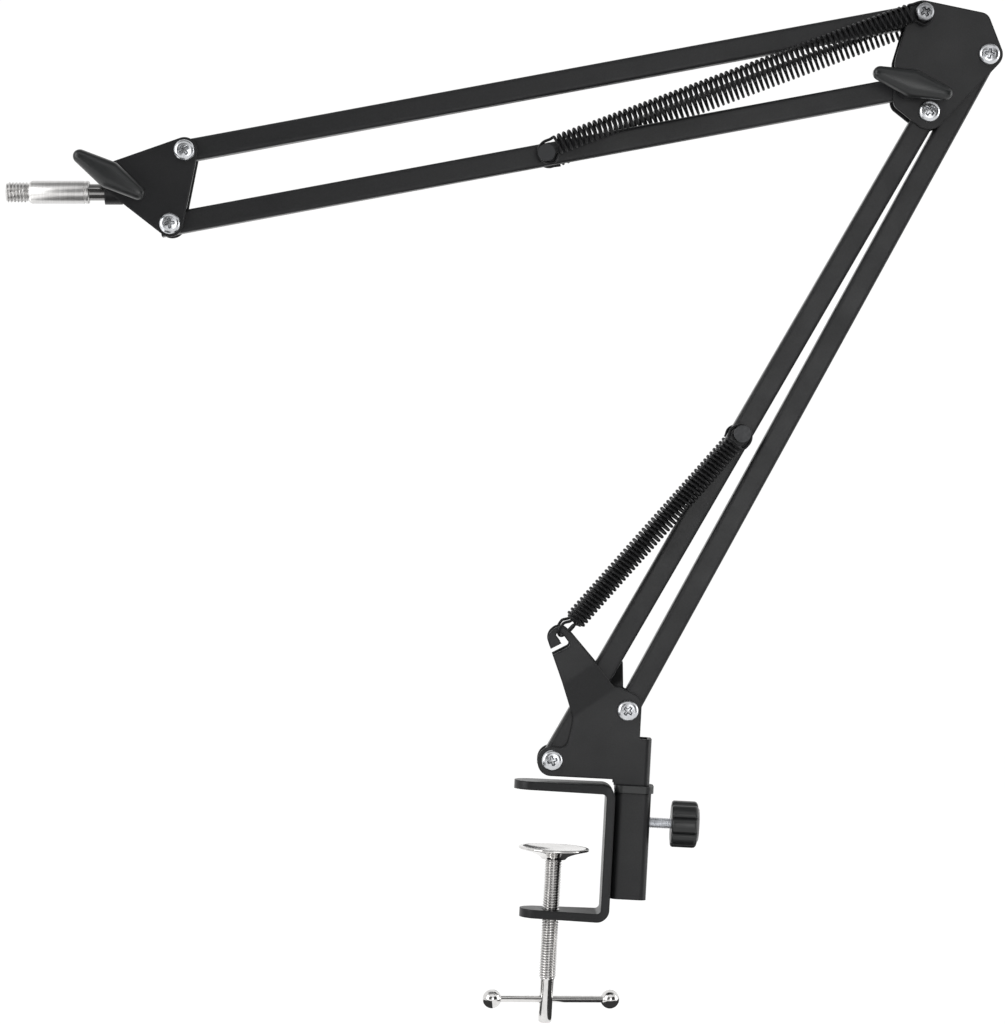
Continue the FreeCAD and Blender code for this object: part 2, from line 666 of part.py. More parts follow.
def socket_bush():
    """Plastic liner with a rim that the turret turns on and a window for the lock screw's nut."""
    bottom = SOCKET_TOP - SOCKET_HEIGHT
    inside = SOCKET_WIDTH - 2 * SOCKET_WALL
    rim_width = SOCKET_WIDTH + 2 * BUSH_RIM_OVERHANG
    body = square_z(inside, SOCKET_CORNER_RADIUS - SOCKET_WALL, bottom, SOCKET_TOP)
    rim = square_z(rim_width, SOCKET_CORNER_RADIUS + BUSH_RIM_OVERHANG, SOCKET_TOP, TURRET_FLOOR)
    strap_side = Part.makeBox(BUSH_RIM_OVERHANG, rim_width, BUSH_RIM_HEIGHT,
                              Vector(STRAP_OUTER_X - BUSH_RIM_OVERHANG, -rim_width / 2, SOCKET_TOP))
    bush = body.fuse(rim).cut(strap_side).cut(socket_bore(bottom, TURRET_FLOOR))
    window = lock_nut_form(NUT_ACROSS_FLATS + 2 * PIVOT_CLEARANCE, inside / 2)
    return bush.cut(window).removeSplitter()


def lock_weld_nut():
    """Thin hexagon nut welded to the inside of the socket's side."""
    return lock_nut_form(NUT_ACROSS_FLATS, LOCK_NUT_HEIGHT).cut(lock_hole(THREAD_CLEARANCE))


LOCK_KNOB_X = SOCKET_SIDE_X + LOCK_KNOB_STANDOFF


def lock_screw():
    """Threaded stud from the swivel pin to the inside of the knob."""
    start = SOCKET_X + SWIVEL_PIN_RADIUS + SPRING_CLEARANCE
    return cylinder_x(LOCK_SCREW_RADIUS, start, LOCK_KNOB_X + LOCK_KNOB_LENGTH / 2)


def lock_knob():
    """Fluted knob with a bevelled outer face."""
    end = LOCK_KNOB_X + LOCK_KNOB_LENGTH
    knob = cylinder_x(LOCK_KNOB_RADIUS, LOCK_KNOB_X, end)
    face_edge = [edge for edge in knob.Edges if edge.BoundBox.XMin > end - LOCK_KNOB_BEVEL]
    knob = knob.makeChamfer(LOCK_KNOB_BEVEL, face_edge)
    for index in range(LOCK_KNOB_FLUTES):
        flute = cylinder_x(LOCK_FLUTE_RADIUS, LOCK_KNOB_X, end)
        flute.translate(Vector(0, 0, LOCK_KNOB_RADIUS + LOCK_FLUTE_RADIUS / 2))
        flute.rotate(Vector(0, 0, LOCK_Z), X_AXIS, 360 * (index + 0.5) / LOCK_KNOB_FLUTES)
        knob = knob.cut(flute)
    bore = cylinder_x(LOCK_SCREW_RADIUS + THREAD_CLEARANCE, LOCK_KNOB_X, LOCK_KNOB_X + LOCK_KNOB_LENGTH / 2)
    return knob.cut(bore)


PAD_BOTTOM = -PAD_GAP - PAD_HEIGHT
SCREW_TOP = PAD_BOTTOM + PAD_FLOOR_THICKNESS
PAD_FLOOR = SCREW_TOP + FACE_CLEARANCE
SCREW_BOTTOM = SCREW_TOP - CLAMP_SCREW_THREAD_LENGTH - CLAMP_SCREW_PLAIN_LENGTH
TOMMY_Z = SCREW_BOTTOM + TOMMY_RISE


def clamp_pad():
    """Dished pad: a cone from its hub to a thin rim, open below for the screw's tip."""
    profile = [
        Vector(0, 0, -PAD_GAP - PAD_RIM_THICKNESS),
        Vector(PAD_HUB_RADIUS, 0, -PAD_GAP - PAD_RIM_THICKNESS),
        Vector(PAD_RADIUS - PAD_RIM_THICKNESS, 0, -PAD_GAP),
        Vector(PAD_RADIUS, 0, -PAD_GAP),
        Vector(PAD_RADIUS, 0, -PAD_GAP - PAD_RIM_THICKNESS),
        Vector(PAD_HUB_RADIUS, 0, PAD_BOTTOM),
        Vector(0, 0, PAD_BOTTOM),
    ]
    pad = Part.Face(Part.makePolygon(profile + profile[:1])).revolve(ORIGIN, Z_AXIS, 360)
    bore = CLAMP_SCREW_RADIUS + PIVOT_CLEARANCE
    return pad.cut(Part.makeCylinder(bore, PAD_FLOOR - PAD_BOTTOM, Vector(0, 0, PAD_BOTTOM)))


def tommy_rod(radius, length):
    """Cylinder along the tommy bar's line, centred on the clamp screw and shifted along itself."""
    rod = Part.makeCylinder(radius, length, Vector(TOMMY_OFFSET - length / 2, 0, TOMMY_Z), X_AXIS)
    rod.rotate(ORIGIN, Z_AXIS, TOMMY_TURN)
    return rod


def clamp_screw():
    """Threaded spindle with a plain lower end that is cross-drilled for the tommy bar."""
    thread_bottom = SCREW_TOP - CLAMP_SCREW_THREAD_LENGTH
    thread = Part.makeCylinder(CLAMP_SCREW_RADIUS, CLAMP_SCREW_THREAD_LENGTH, Vector(0, 0, thread_bottom))
    plain = Part.makeCylinder(CLAMP_SCREW_END_RADIUS, CLAMP_SCREW_PLAIN_LENGTH, Vector(0, 0, SCREW_BOTTOM))
    hole = tommy_rod(TOMMY_RADIUS + TOMMY_HOLE_CLEARANCE, TOMMY_LENGTH)
    return thread.fuse(plain).cut(hole).removeSplitter()


def tommy_balls():
    """Round ends of the tommy bar, each drilled for it; their seams are turned clear of the bores."""
    balls = []
    bore = tommy_rod(TOMMY_RADIUS + THREAD_CLEARANCE, TOMMY_LENGTH + 2 * THREAD_CLEARANCE)
    for side in (-1, 1):
        centre = Vector(TOMMY_OFFSET + side * TOMMY_LENGTH / 2, 0, TOMMY_Z)
        ball = Part.makeSphere(TOMMY_BALL_RADIUS, centre)
        ball.rotate(centre, Z_AXIS, 90)
        ball.rotate(ORIGIN, Z_AXIS, TOMMY_TURN)
        balls.append(ball.cut(bore))
    return balls


SPINE_X = SOCKET_X + SWIVEL_PIN_RADIUS + FACE_CLEARANCE + SHEET
SPINE_TOP = TURRET_FLOOR + TURRET_SPINE_HEIGHT


def turret_outline(shoulder):
    """Side plate: front boss, foot on the socket's rim, rear boss, shoulder and the spring's horn."""
    front = BASE_FRONT_PIVOT
    rear = BASE_REAR_PIVOT
    foot_x = STRAP_OUTER_X - TURRET_FOOT_MARGIN
    ledge = TURRET_FLOOR + TURRET_FOOT_STEP
    front_radius = TURRET_FRONT_BOSS_RADIUS
    front_round = front_radius - CORNER_RELIEF
    right = rear.x + TURRET_REAR_BOSS_RADIUS
    left = front.x - front_radius
    rear_top = Vector(right, 0, rear.z + TURRET_REAR_BOSS_RADIUS)
    corners = [
        (Vector(left, 0, ledge), front_round),
        (Vector(foot_x, 0, ledge), CORNER_RELIEF),
        (Vector(foot_x, 0, TURRET_FLOOR), 0),
        (Vector(right, 0, TURRET_FLOOR), 0),
        (rear_top, TURRET_REAR_BOSS_RADIUS - CORNER_RELIEF),
    ]
    corners += [(rear + offset, rounding) for offset, rounding in shoulder]
    corners += [(SEAT + offset, rounding) for offset, rounding in HORN_CORNERS]
    corners += [(front + offset, rounding) for offset, rounding in FRONT_NECK]
    corners.append((Vector(left, 0, front.z + front_radius), front_round))
    return rounded_outline(corners)


def folded_sheet():
    """Near side sheet that steps outward between two rounded bends, as a slab larger than the plate."""
    size = BAR_SPAN / 2
    far = PLATE_INNER
    near = PLATE_OUTER
    flare = HORN_FLARE
    inside = HORN_BEND_RADIUS
    outside = HORN_BEND_RADIUS + SHEET
    profile = [
        (Vector(-size, -far, 0), 0),
        (Vector(HORN_CREASE_LOW, -far, 0), outside),
        (Vector(HORN_CREASE_HIGH, -far - flare, 0), inside),
        (Vector(size, -far - flare, 0), 0),
        (Vector(size, -near - flare, 0), 0),
        (Vector(HORN_CREASE_HIGH, -near - flare, 0), outside),
        (Vector(HORN_CREASE_LOW, -near, 0), inside),
        (Vector(-size, -near, 0), 0),
    ]
    slab = Part.Face(rounded_outline(profile)).extrude(Z_AXIS * 2 * size)
    slab.translate(Z_AXIS * -size)
    slab.rotate(ORIGIN, Y_AXIS, -90 - HORN_CREASE_ANGLE)
    return slab


def turret_plate(shoulder):
    """Side plate on the near side: folded sheet with a horn, a hooked slot and two pivot holes."""
    plate = prism_y(turret_outline(shoulder), -PLATE_OUTER - HORN_FLARE, -PLATE_INNER).common(folded_sheet())
    deep = (-PLATE_OUTER - 2 * HORN_FLARE, 0)
    mouth = SEAT + Vector(HORN_SLOT_MOUTH_X, 0, HORN_SLOT_MOUTH_Z)
    turn = SEAT + Vector(HORN_SLOT_TURN_X, 0, HORN_SLOT_TURN_Z)
    plate = plate.cut(capsule(mouth, turn, HORN_SLOT_RADIUS, *deep))
    plate = plate.cut(capsule(turn, SEAT, HORN_SLOT_RADIUS, *deep))
    for place in (BASE_FRONT_PIVOT, BASE_REAR_PIVOT):
        plate = plate.cut(cylinder_y(place, SCREW_RADIUS + PIVOT_CLEARANCE, *deep))
    return plate


def turret_bracket():
    """Folded bracket: two side plates with flared horns, joined by a spine behind the socket's axis."""
    far_plate = mirrored_y(turret_plate(FAR_SHOULDER))
    return turret_plate(NEAR_SHOULDER).fuse(far_plate).fuse(turret_spine()).removeSplitter()


def turret_spine():
    """U-shaped fold that joins the two side plates."""
    start = BASE_REAR_PIVOT.x
    outer = [
        (Vector(start, -PLATE_OUTER, 0), 0),
        (Vector(SPINE_X, -PLATE_OUTER, 0), TURRET_SPINE_RADIUS),
        (Vector(SPINE_X, PLATE_OUTER, 0), TURRET_SPINE_RADIUS),
        (Vector(start, PLATE_OUTER, 0), 0),
        (Vector(start, PLATE_INNER, 0), 0),
        (Vector(SPINE_X - SHEET, PLATE_INNER, 0), TURRET_SPINE_RADIUS - SHEET),
        (Vector(SPINE_X - SHEET, -PLATE_INNER, 0), TURRET_SPINE_RADIUS - SHEET),
        (Vector(start, -PLATE_INNER, 0), 0),
    ]
    fold = Part.Face(rounded_outline(outer)).extrude(Z_AXIS * (SPINE_TOP - TURRET_FLOOR))
    fold.translate(Z_AXIS * TURRET_FLOOR)
    return fold


def swivel_pin():
    """Post that stands in the socket and is held between the turret's plates."""
    bottom = TURRET_FLOOR - SWIVEL_PIN_DEPTH
    height = SWIVEL_PIN_DEPTH + SWIVEL_PIN_RISE
    return Part.makeCylinder(SWIVEL_PIN_RADIUS, height, Vector(SOCKET_X, 0, bottom))


def elbow_plate():
    """Near plate of the elbow, round its four pivots and two free corners."""
    top = ELBOW_TOP_PIVOT
    front = ELBOW_FRONT_PIVOT
    side = ELBOW_SIDE_RADIUS
    outline = belt([
        (front, ELBOW_FRONT_BOSS_RADIUS),
        (ELBOW_REAR_PIVOT, ELBOW_REAR_BOSS_RADIUS),
        (top + Vector(ELBOW_CORNER_X, 0, ELBOW_CORNER_Z), side),
        (top, ELBOW_TOP_BOSS_RADIUS),
        (ELBOW_KNOB_PIVOT + Vector(ELBOW_SIDE_HIGH_X, 0, ELBOW_SIDE_HIGH_Z), side),
        (ELBOW_KNOB_PIVOT + Vector(ELBOW_SIDE_LOW_X, 0, ELBOW_SIDE_LOW_Z), side),
    ])
    return flat_plate(outline, [front, ELBOW_REAR_PIVOT, top, ELBOW_KNOB_PIVOT])


def head_plate():
    """Near plate of the head: a triangle round two bar pivots and the knob."""
    outline = belt([
        (HEAD_LOW_PIVOT, HEAD_BOSS_RADIUS),
        (HEAD_TOP_PIVOT, HEAD_BOSS_RADIUS),
        (HEAD_KNOB_PIVOT, HEAD_TIP_RADIUS),
    ])
    return flat_plate(outline, [HEAD_LOW_PIVOT, HEAD_TOP_PIVOT, HEAD_KNOB_PIVOT])


ROD_DROP = ROD_RADIUS + SCREW_RADIUS + 2 * PIVOT_CLEARANCE
SLEEVE_START = -ROD_VISIBLE_LENGTH
SLEEVE_END = SLEEVE_START - SLEEVE_LENGTH
STUD_END = SLEEVE_END - STUD_LENGTH


def rod_cylinder(radius, start, end):
    """Cylinder on the rod's axis; places along it run from the knob's bolt, positive towards the arm."""
    return Part.makeCylinder(radius, end - start, Vector(start, 0, -ROD_DROP), X_AXIS)


def on_head(shape):
    """Tilt a piece that was made at the origin and put it on the head knob's bolt."""
    shape.rotate(ORIGIN, Y_AXIS, -ROD_TILT)
    shape.translate(HEAD_KNOB_PIVOT)
    return shape


def rod_saddle():
    """U-shaped strip that hangs on the knob's bolt and holds the rod."""
    half = PLATE_INNER - FACE_CLEARANCE
    inside = half - SADDLE_WALL
    start = -SADDLE_LENGTH / 2
    top = SCREW_RADIUS + SADDLE_EAR
    bend = rod_cylinder(half, start, -start)
    legs = Part.makeBox(SADDLE_LENGTH, 2 * half, ROD_DROP + top, Vector(start, -half, -ROD_DROP))
    saddle = bend.fuse(legs)
    gap = Part.makeBox(SADDLE_LENGTH, 2 * inside, ROD_DROP + top, Vector(start, -inside, -ROD_DROP))
    saddle = saddle.cut(gap).cut(rod_cylinder(inside, start, -start)).removeSplitter()
    return on_head(saddle.cut(cylinder_y(ORIGIN, SCREW_RADIUS + PIVOT_CLEARANCE, -half, half)))


def mic_rod():
    """Bright rod from the saddle into the sleeve."""
    return on_head(rod_cylinder(ROD_RADIUS, SLEEVE_START - SLEEVE_OVERLAP, ROD_INNER_LENGTH))


def thread_sleeve():
    """Sleeve on the rod's end with the microphone thread."""
    body = rod_cylinder(SLEEVE_RADIUS, SLEEVE_END, SLEEVE_START)
    body = body.cut(rod_cylinder(ROD_RADIUS, SLEEVE_START - SLEEVE_OVERLAP, SLEEVE_START))
    stud = rod_cylinder(STUD_RADIUS, STUD_END, SLEEVE_END)
    tip = [edge for edge in stud.Edges if edge.BoundBox.XMax < STUD_END + STUD_CHAMFER]
    stud = stud.makeChamfer(STUD_CHAMFER, tip)
    return on_head(body.fuse(stud).removeSplitter())


def lower_arm(nodes):
    """Two bars of the lower arm, their bushes, the spring pin and the springs."""
    front_hole = (LOWER_SPRING_PIN_SPAN, SPRING_PIN_RADIUS)
    front_bar = bar(BASE_FRONT_PIVOT, ELBOW_FRONT_PIVOT, BUSH_OUTER, BUSH_OUTER, front_hole)
    nodes["lower_arm_front_bar"] = front_bar
    nodes["lower_arm_rear_bar"] = bar(BASE_REAR_PIVOT, ELBOW_REAR_PIVOT, BUSH_OUTER, OPEN_HOLE)
    nodes["lower_front_bushes"] = bushes(BASE_FRONT_PIVOT) + bushes(ELBOW_FRONT_PIVOT)
    nodes["lower_rear_bushes"] = bushes(BASE_REAR_PIVOT)
    nodes["lower_rear_washers"] = open_washers(ELBOW_REAR_PIVOT)
    nodes["lower_spring_pin"] = spring_pin(LOWER_SPRING_PIN, LOWER_SPRING_PLANE)
    nodes["lower_spring_spacers"] = spring_spacers(LOWER_SPRING_PIN, BAR_WIDTH / 2, LOWER_SPRING_PLANE)
    for side, sign in (("near", -1), ("far", 1)):
        name = f"lower_spring_{side}"
        end = loop_place(LOWER_SPRING_PIN, SEAT)
        offsets = (SEAT_COIL_OFFSET, 0)
        plane = sign * LOWER_SPRING_PLANE
        loop_angle = -sign * SEAT_LOOP_ANGLE
        nodes[name] = spring(SEAT, end, LOWER_SPRING_CURLS, loop_angle, offsets, plane, name)


def upper_arm(nodes):
    """Two bars of the upper arm, their bushes, the spring pin and the springs."""
    hole = (BAR_SPAN - UPPER_SPRING_PIN_SPAN, SPRING_PIN_RADIUS)
    nodes["upper_arm_bottom_bar"] = bar(HEAD_LOW_PIVOT, ELBOW_KNOB_PIVOT, BUSH_OUTER, BUSH_OUTER, hole)
    nodes["upper_arm_top_bar"] = bar(HEAD_TOP_PIVOT, ELBOW_TOP_PIVOT, BUSH_OUTER, BUSH_OUTER)
    nodes["upper_bottom_bushes"] = bushes(HEAD_LOW_PIVOT) + bushes(ELBOW_KNOB_PIVOT)
    nodes["upper_top_bushes"] = bushes(HEAD_TOP_PIVOT) + bushes(ELBOW_TOP_PIVOT)
    nodes["upper_spring_pin"] = spring_pin(UPPER_SPRING_PIN, UPPER_SPRING_PLANE)
    nodes["upper_spring_spacers"] = spring_spacers(UPPER_SPRING_PIN, BAR_WIDTH / 2, UPPER_SPRING_PLANE)
    for side, sign in (("near", -1), ("far", 1)):
        name = f"upper_spring_{side}"
        start = loop_place(ELBOW_TOP_PIVOT, UPPER_SPRING_PIN)
        end = loop_place(UPPER_SPRING_PIN, ELBOW_TOP_PIVOT)
        offset = -sign * UPPER_COIL_OFFSET
        plane = sign * UPPER_SPRING_PLANE
        nodes[name] = spring(start, end, UPPER_SPRING_CURLS, 0, (offset, offset), plane, name)


def clamp(nodes):
    """Desk clamp with its socket, screw, pad, tommy bar and lock knob."""
    nodes["clamp_frame"] = clamp_frame()
    nodes["socket_tube"] = socket_tube()
    nodes["socket_bush"] = socket_bush()
    nodes["lock_weld_nut"] = lock_weld_nut()
    nodes["lock_screw"] = lock_screw()
    nodes["lock_knob"] = lock_knob()
    nodes["clamp_pad"] = clamp_pad()
    nodes["clamp_screw"] = clamp_screw()
    nodes["tommy_bar"] = tommy_rod(TOMMY_RADIUS, TOMMY_LENGTH)
    nodes["tommy_bar_balls"] = tommy_balls()


def turret(nodes):
    """Swivelling base of the arm."""
    pivots = (BASE_FRONT_PIVOT, BASE_REAR_PIVOT)
    nodes["turret_bracket"] = turret_bracket()
    nodes["swivel_pin"] = swivel_pin()
    nodes["turret_pivot_screws"] = [pivot_screw(place, PLATE_OUTER) for place in pivots]
    nodes["turret_pivot_nuts"] = [pivot_nut(place, PLATE_OUTER) for place in pivots]


def elbow(nodes):
    """Elbow plates with their screws, the long bolt that holds the upper springs and the wing knob."""
    pivots = (ELBOW_FRONT_PIVOT, ELBOW_REAR_PIVOT)
    bolt_seat = UPPER_SPRING_PLANE + SPRING_WIRE_RADIUS + SPRING_CLEARANCE
    plate = elbow_plate()
    nodes["elbow_plate_near"] = plate
    nodes["elbow_plate_far"] = mirrored_y(plate)
    nodes["elbow_pivot_screws"] = [pivot_screw(place, PLATE_OUTER) for place in pivots]
    nodes["elbow_pivot_nuts"] = [pivot_nut(place, PLATE_OUTER) for place in pivots]
    nodes["elbow_spring_bolt"] = pivot_screw(ELBOW_TOP_PIVOT, bolt_seat)
    nodes["elbow_spring_nut"] = pivot_nut(ELBOW_TOP_PIVOT, bolt_seat)
    nodes["elbow_spring_spacers"] = spring_spacers(ELBOW_TOP_PIVOT, PLATE_OUTER, UPPER_SPRING_PLANE)
    nodes["elbow_knob"] = wing_knob(ELBOW_KNOB_PIVOT, ELBOW_WING_TURN)
    nodes["elbow_knob_bolt"] = wing_bolt(ELBOW_KNOB_PIVOT)
    nodes["elbow_knob_washer"] = wing_washer(ELBOW_KNOB_PIVOT)
    nodes["elbow_knob_nut"] = pivot_nut(ELBOW_KNOB_PIVOT, PLATE_OUTER)


def head(nodes):
    """Head plates with their screws, the wing knob and the microphone rod."""
    pivots = (HEAD_LOW_PIVOT, HEAD_TOP_PIVOT)
    plate = head_plate()
    nodes["head_plate_near"] = plate
    nodes["head_plate_far"] = mirrored_y(plate)
    nodes["head_pivot_screws"] = [pivot_screw(place, PLATE_OUTER) for place in pivots]
    nodes["head_pivot_nuts"] = [pivot_nut(place, PLATE_OUTER) for place in pivots]
    nodes["head_knob"] = wing_knob(HEAD_KNOB_PIVOT, HEAD_WING_TURN)
    nodes["head_knob_bolt"] = wing_bolt(HEAD_KNOB_PIVOT)
    nodes["head_knob_washer"] = wing_washer(HEAD_KNOB_PIVOT)
    nodes["head_knob_nut"] = pivot_nut(HEAD_KNOB_PIVOT, PLATE_OUTER)
    nodes["rod_saddle"] = rod_saddle()
    nodes["mic_rod"] = mic_rod()
    nodes["thread_sleeve"] = thread_sleeve()


def main():
    """Make every piece and write one file for each node."""
    nodes = {}
    for group in (clamp, turret, lower_arm, elbow, upper_arm, head):
        group(nodes)
    os.makedirs("parts", exist_ok=True)
    for name, shape in nodes.items():
        solid = Part.makeCompound(shape) if isinstance(shape, list) else shape
        solid.exportStep(f"parts/{name}.step")
    print(f"{len(nodes)} nodes")


main()
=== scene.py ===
"""Looks of a spring-balanced microphone boom arm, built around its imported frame."""

import json
import math

import bmesh
import bpy
import numpy as np
from mathutils import Matrix, Vector


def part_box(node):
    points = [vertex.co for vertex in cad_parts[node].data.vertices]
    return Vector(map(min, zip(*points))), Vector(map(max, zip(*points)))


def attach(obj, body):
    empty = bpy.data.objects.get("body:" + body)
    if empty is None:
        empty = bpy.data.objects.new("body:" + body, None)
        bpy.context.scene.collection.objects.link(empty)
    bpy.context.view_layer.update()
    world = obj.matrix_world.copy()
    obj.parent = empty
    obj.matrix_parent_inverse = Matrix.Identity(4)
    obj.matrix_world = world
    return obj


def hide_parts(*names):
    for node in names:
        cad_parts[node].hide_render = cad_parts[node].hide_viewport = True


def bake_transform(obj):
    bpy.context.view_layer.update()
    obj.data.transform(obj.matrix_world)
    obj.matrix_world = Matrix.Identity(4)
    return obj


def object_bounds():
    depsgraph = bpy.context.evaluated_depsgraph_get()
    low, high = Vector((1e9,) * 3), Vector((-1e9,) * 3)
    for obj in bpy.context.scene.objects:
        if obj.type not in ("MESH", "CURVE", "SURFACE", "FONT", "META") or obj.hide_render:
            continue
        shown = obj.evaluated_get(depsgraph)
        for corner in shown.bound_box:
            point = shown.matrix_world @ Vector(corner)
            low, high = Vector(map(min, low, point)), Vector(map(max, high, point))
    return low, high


bl_info = {
    "name": "Boom arm looks",
    "version": (1, 0, 0),
    "blender": (4, 5, 0),
    "location": "3D View > Sidebar > Boom arm",
    "description": "Dresses the packed boom arm with springs, threads, knobs, screws and finishes",
    "category": "Object",
}

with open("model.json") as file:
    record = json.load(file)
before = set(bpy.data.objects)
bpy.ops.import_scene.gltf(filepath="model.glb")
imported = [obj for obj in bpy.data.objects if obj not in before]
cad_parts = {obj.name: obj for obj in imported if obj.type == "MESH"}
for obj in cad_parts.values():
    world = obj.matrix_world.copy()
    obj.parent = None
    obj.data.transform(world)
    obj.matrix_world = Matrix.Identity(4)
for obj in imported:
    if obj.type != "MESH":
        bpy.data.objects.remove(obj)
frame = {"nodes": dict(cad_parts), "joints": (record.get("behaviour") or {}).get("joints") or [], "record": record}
CAD_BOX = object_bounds()
NODES = frame["nodes"]
JOINTS = {joint["name"]: joint for joint in frame["joints"]}
SLOT_OF = {part["node"]: part["material_slot"] for part in frame["record"]["subparts"]}
BODY_OF = {node: body for body, nodes in frame["record"]["behaviour"]["bodies"].items() for node in nodes}
MM = 0.001
X_AXIS, Y_AXIS, Z_AXIS = np.eye(3)
THREAD_ROWS = 8
FASTENER_SIDES = 72
CREASE = math.radians(40)
MATERIALS = {}


def joint_place(name):
    """Point that a joint turns about, in metres."""
    return np.array(JOINTS[name]["pos_m"], float)


def joint_axis(name):
    """Unit axis of a joint."""
    axis = np.array(JOINTS[name]["axis"], float)
    return axis / np.linalg.norm(axis)


def box_of(node):
    """Lowest and highest corner and middle of a frame node, as arrays in metres."""
    low, high = np.array(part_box(node))
    return low, high, (low + high) / 2


def length(label, words, size):
    """Length property with its size given in millimetres."""
    return bpy.props.FloatProperty(
        name=label, description=words, default=size * MM, unit="LENGTH", precision=5)


def slope(label, words, degrees):
    """Angle property with its size given in degrees."""
    return bpy.props.FloatProperty(
        name=label, description=words, default=math.radians(degrees), subtype="ANGLE")


def colour(label, words, shade):
    """Colour property."""
    return bpy.props.FloatVectorProperty(
        name=label, description=words, default=shade, size=3, subtype="COLOR")


class BoomSprings(bpy.types.PropertyGroup):
    """Sizes of the four tension springs."""

    wire_radius: length("Wire radius", "Half the spring wire's thickness", 0.7)
    coil_radius: length("Coil radius", "From a spring's axis to the middle of its wire", 4.1)
    loop_radius: length("Loop radius", "Radius of the end loops at the middle of the wire", 5.3)
    loop_lead: length("Loop lead", "Length in which the wire leaves the coil", 2.4)
    loop_straight: length("Loop straight", "Straight run before an end loop's bend", 1.6)
    pin_radius: length("Pin radius", "Radius of the pins that hold the loops", 2.5)
    pin_clearance: length("Pin clearance", "Play between a loop and its pin", 0.3)
    seat_offset: length("Seat offset", "How far a lower coil's axis lies beside its seat", 1.3)
    upper_offset: length("Upper offset", "How far an upper coil's axis lies above or below its pins", 1.9)
    leave_angle: slope("Leave angle", "Turn that the wire takes to leave the coil", 29.0)
    seat_angle: slope("Seat angle", "Slant of the loops in the seats of the turret", 62.0)
    lower_turns: bpy.props.IntProperty(name="Lower turns", description="Coils of a lower spring", default=51)
    upper_turns: bpy.props.IntProperty(name="Upper turns", description="Coils of an upper spring", default=70)


class BoomThreads(bpy.types.PropertyGroup):
    """Sizes of the turned and threaded pieces."""

    clamp_pitch: length("Clamp pitch", "Thread pitch of the clamp screw", 1.25)
    clamp_end: length("Clamp end", "Length of the clamp screw's plain end", 20.5)
    clamp_end_radius: length("Clamp end radius", "Radius of the clamp screw's plain end", 3.1)
    small_pitch: length("Small pitch", "Thread pitch of the lock screw and the pivot screws", 0.8)
    stud_pitch: length("Stud pitch", "Thread pitch of the microphone stud", 1.5875)
    stud_radius: length("Stud radius", "Radius of the microphone stud over its thread", 4.76)
    stud_length: length("Stud length", "How far the microphone stud stands out of its sleeve", 10.8)
    rod_bore: length("Rod bore", "Depth of the rod in the sleeve", 12.0)
    depth_share: bpy.props.FloatProperty(
        name="Thread depth", description="Depth of a thread as a share of its pitch",
        default=0.45, min=0.0, max=1.0, subtype="FACTOR")


class BoomScrews(bpy.types.PropertyGroup):
    """Sizes of the pivot screws and nuts."""

    shank_radius: length("Shank radius", "Radius of a pivot screw's shank", 2.5)
    head_radius: length("Head radius", "Radius of a pivot screw's head", 5.0)
    head_height: length("Head height", "Height of a pivot screw's head", 3.6)
    head_round: length("Head round", "Rounding of a head's rim", 2.2)
    bolt_head_radius: length("Bolt head radius", "Radius of the upper spring bolt's head", 4.2)
    recess_width: length("Recess width", "Width of the cross recess", 1.25)
    recess_span: length("Recess span", "Length of the cross recess", 5.2)
    recess_depth: length("Recess depth", "Depth of the cross recess", 1.7)
    nut_flats: length("Nut flats", "Width of a nut across its flats", 8.0)
    nut_collar: length("Nut collar", "Height of the locking collar on a nut", 1.1)


class BoomKnobs(bpy.types.PropertyGroup):
    """Sizes of the moulded knobs."""

    wing_span: length("Wing span", "Length of a wing knob from tip to tip", 38.0)
    wing_tip: length("Wing tip", "Rounding of a wing's tip", 3.3)
    wing_hub: length("Wing hub", "Half width of a wing knob at its hub", 6.4)
    wing_lift: length("Wing lift", "Height of the stem under the wing", 9.8)
    stem_radius: length("Stem radius", "Radius of the stem under the wing", 5.0)
    elbow_turn: slope("Elbow turn", "Slope of the elbow's wing knob", -14.0)
    head_turn: slope("Head turn", "Slope of the head's wing knob", -29.0)
    lobe_depth: length("Lobe depth", "Depth of the grooves between the lock knob's lobes", 1.5)
    lock_bevel: length("Lock bevel", "Bevel round the lock knob's outer face", 2.4)
    lobes: bpy.props.IntProperty(name="Lobes", description="Lobes of the lock knob", default=8)


class BoomFinish(bpy.types.PropertyGroup):
    """Colours of the finishes."""

    paint: colour("Paint", "Satin black paint on the steel", (0.0075, 0.0077, 0.0083))
    wire: colour("Wire", "Blackened spring wire", (0.0040, 0.0040, 0.0045))
    plastic: colour("Plastic", "Moulded black knobs", (0.0085, 0.0092, 0.0095))
    nickel: colour("Nickel", "Polished nickel plate", (0.72, 0.71, 0.70))
    zinc: colour("Zinc", "Zinc plate on the screws", (0.60, 0.61, 0.63))


class BoomStage(bpy.types.PropertyGroup):
    """Place of the camera and level of the light."""

    camera_place: bpy.props.FloatVectorProperty(
        name="Camera place", description="Where the camera stands", default=(-0.0513, -1.7720, 0.1610),
        size=3, subtype="TRANSLATION", precision=4)
    camera_yaw: slope("Camera yaw", "Turn of the camera to the right", 0.61)
    camera_pitch: slope("Camera pitch", "Tilt of the camera downwards", 1.04)
    camera_roll: slope("Camera roll", "Turn of the camera about its axis", 3.02)
    camera_lens: bpy.props.FloatProperty(
        name="Camera lens", description="Focal length for a 36 mm wide image", default=135.49, unit="CAMERA")
    room_light: bpy.props.FloatProperty(
        name="Room light", description="Light of the room on the object", default=0.36)


def basis(axis):
    """Two unit vectors square to an axis and to each other."""
    first = np.cross(Y_AXIS if abs(axis[1]) < 0.9 else Z_AXIS, axis)
    first /= np.linalg.norm(first)
    return first, np.cross(axis, first)


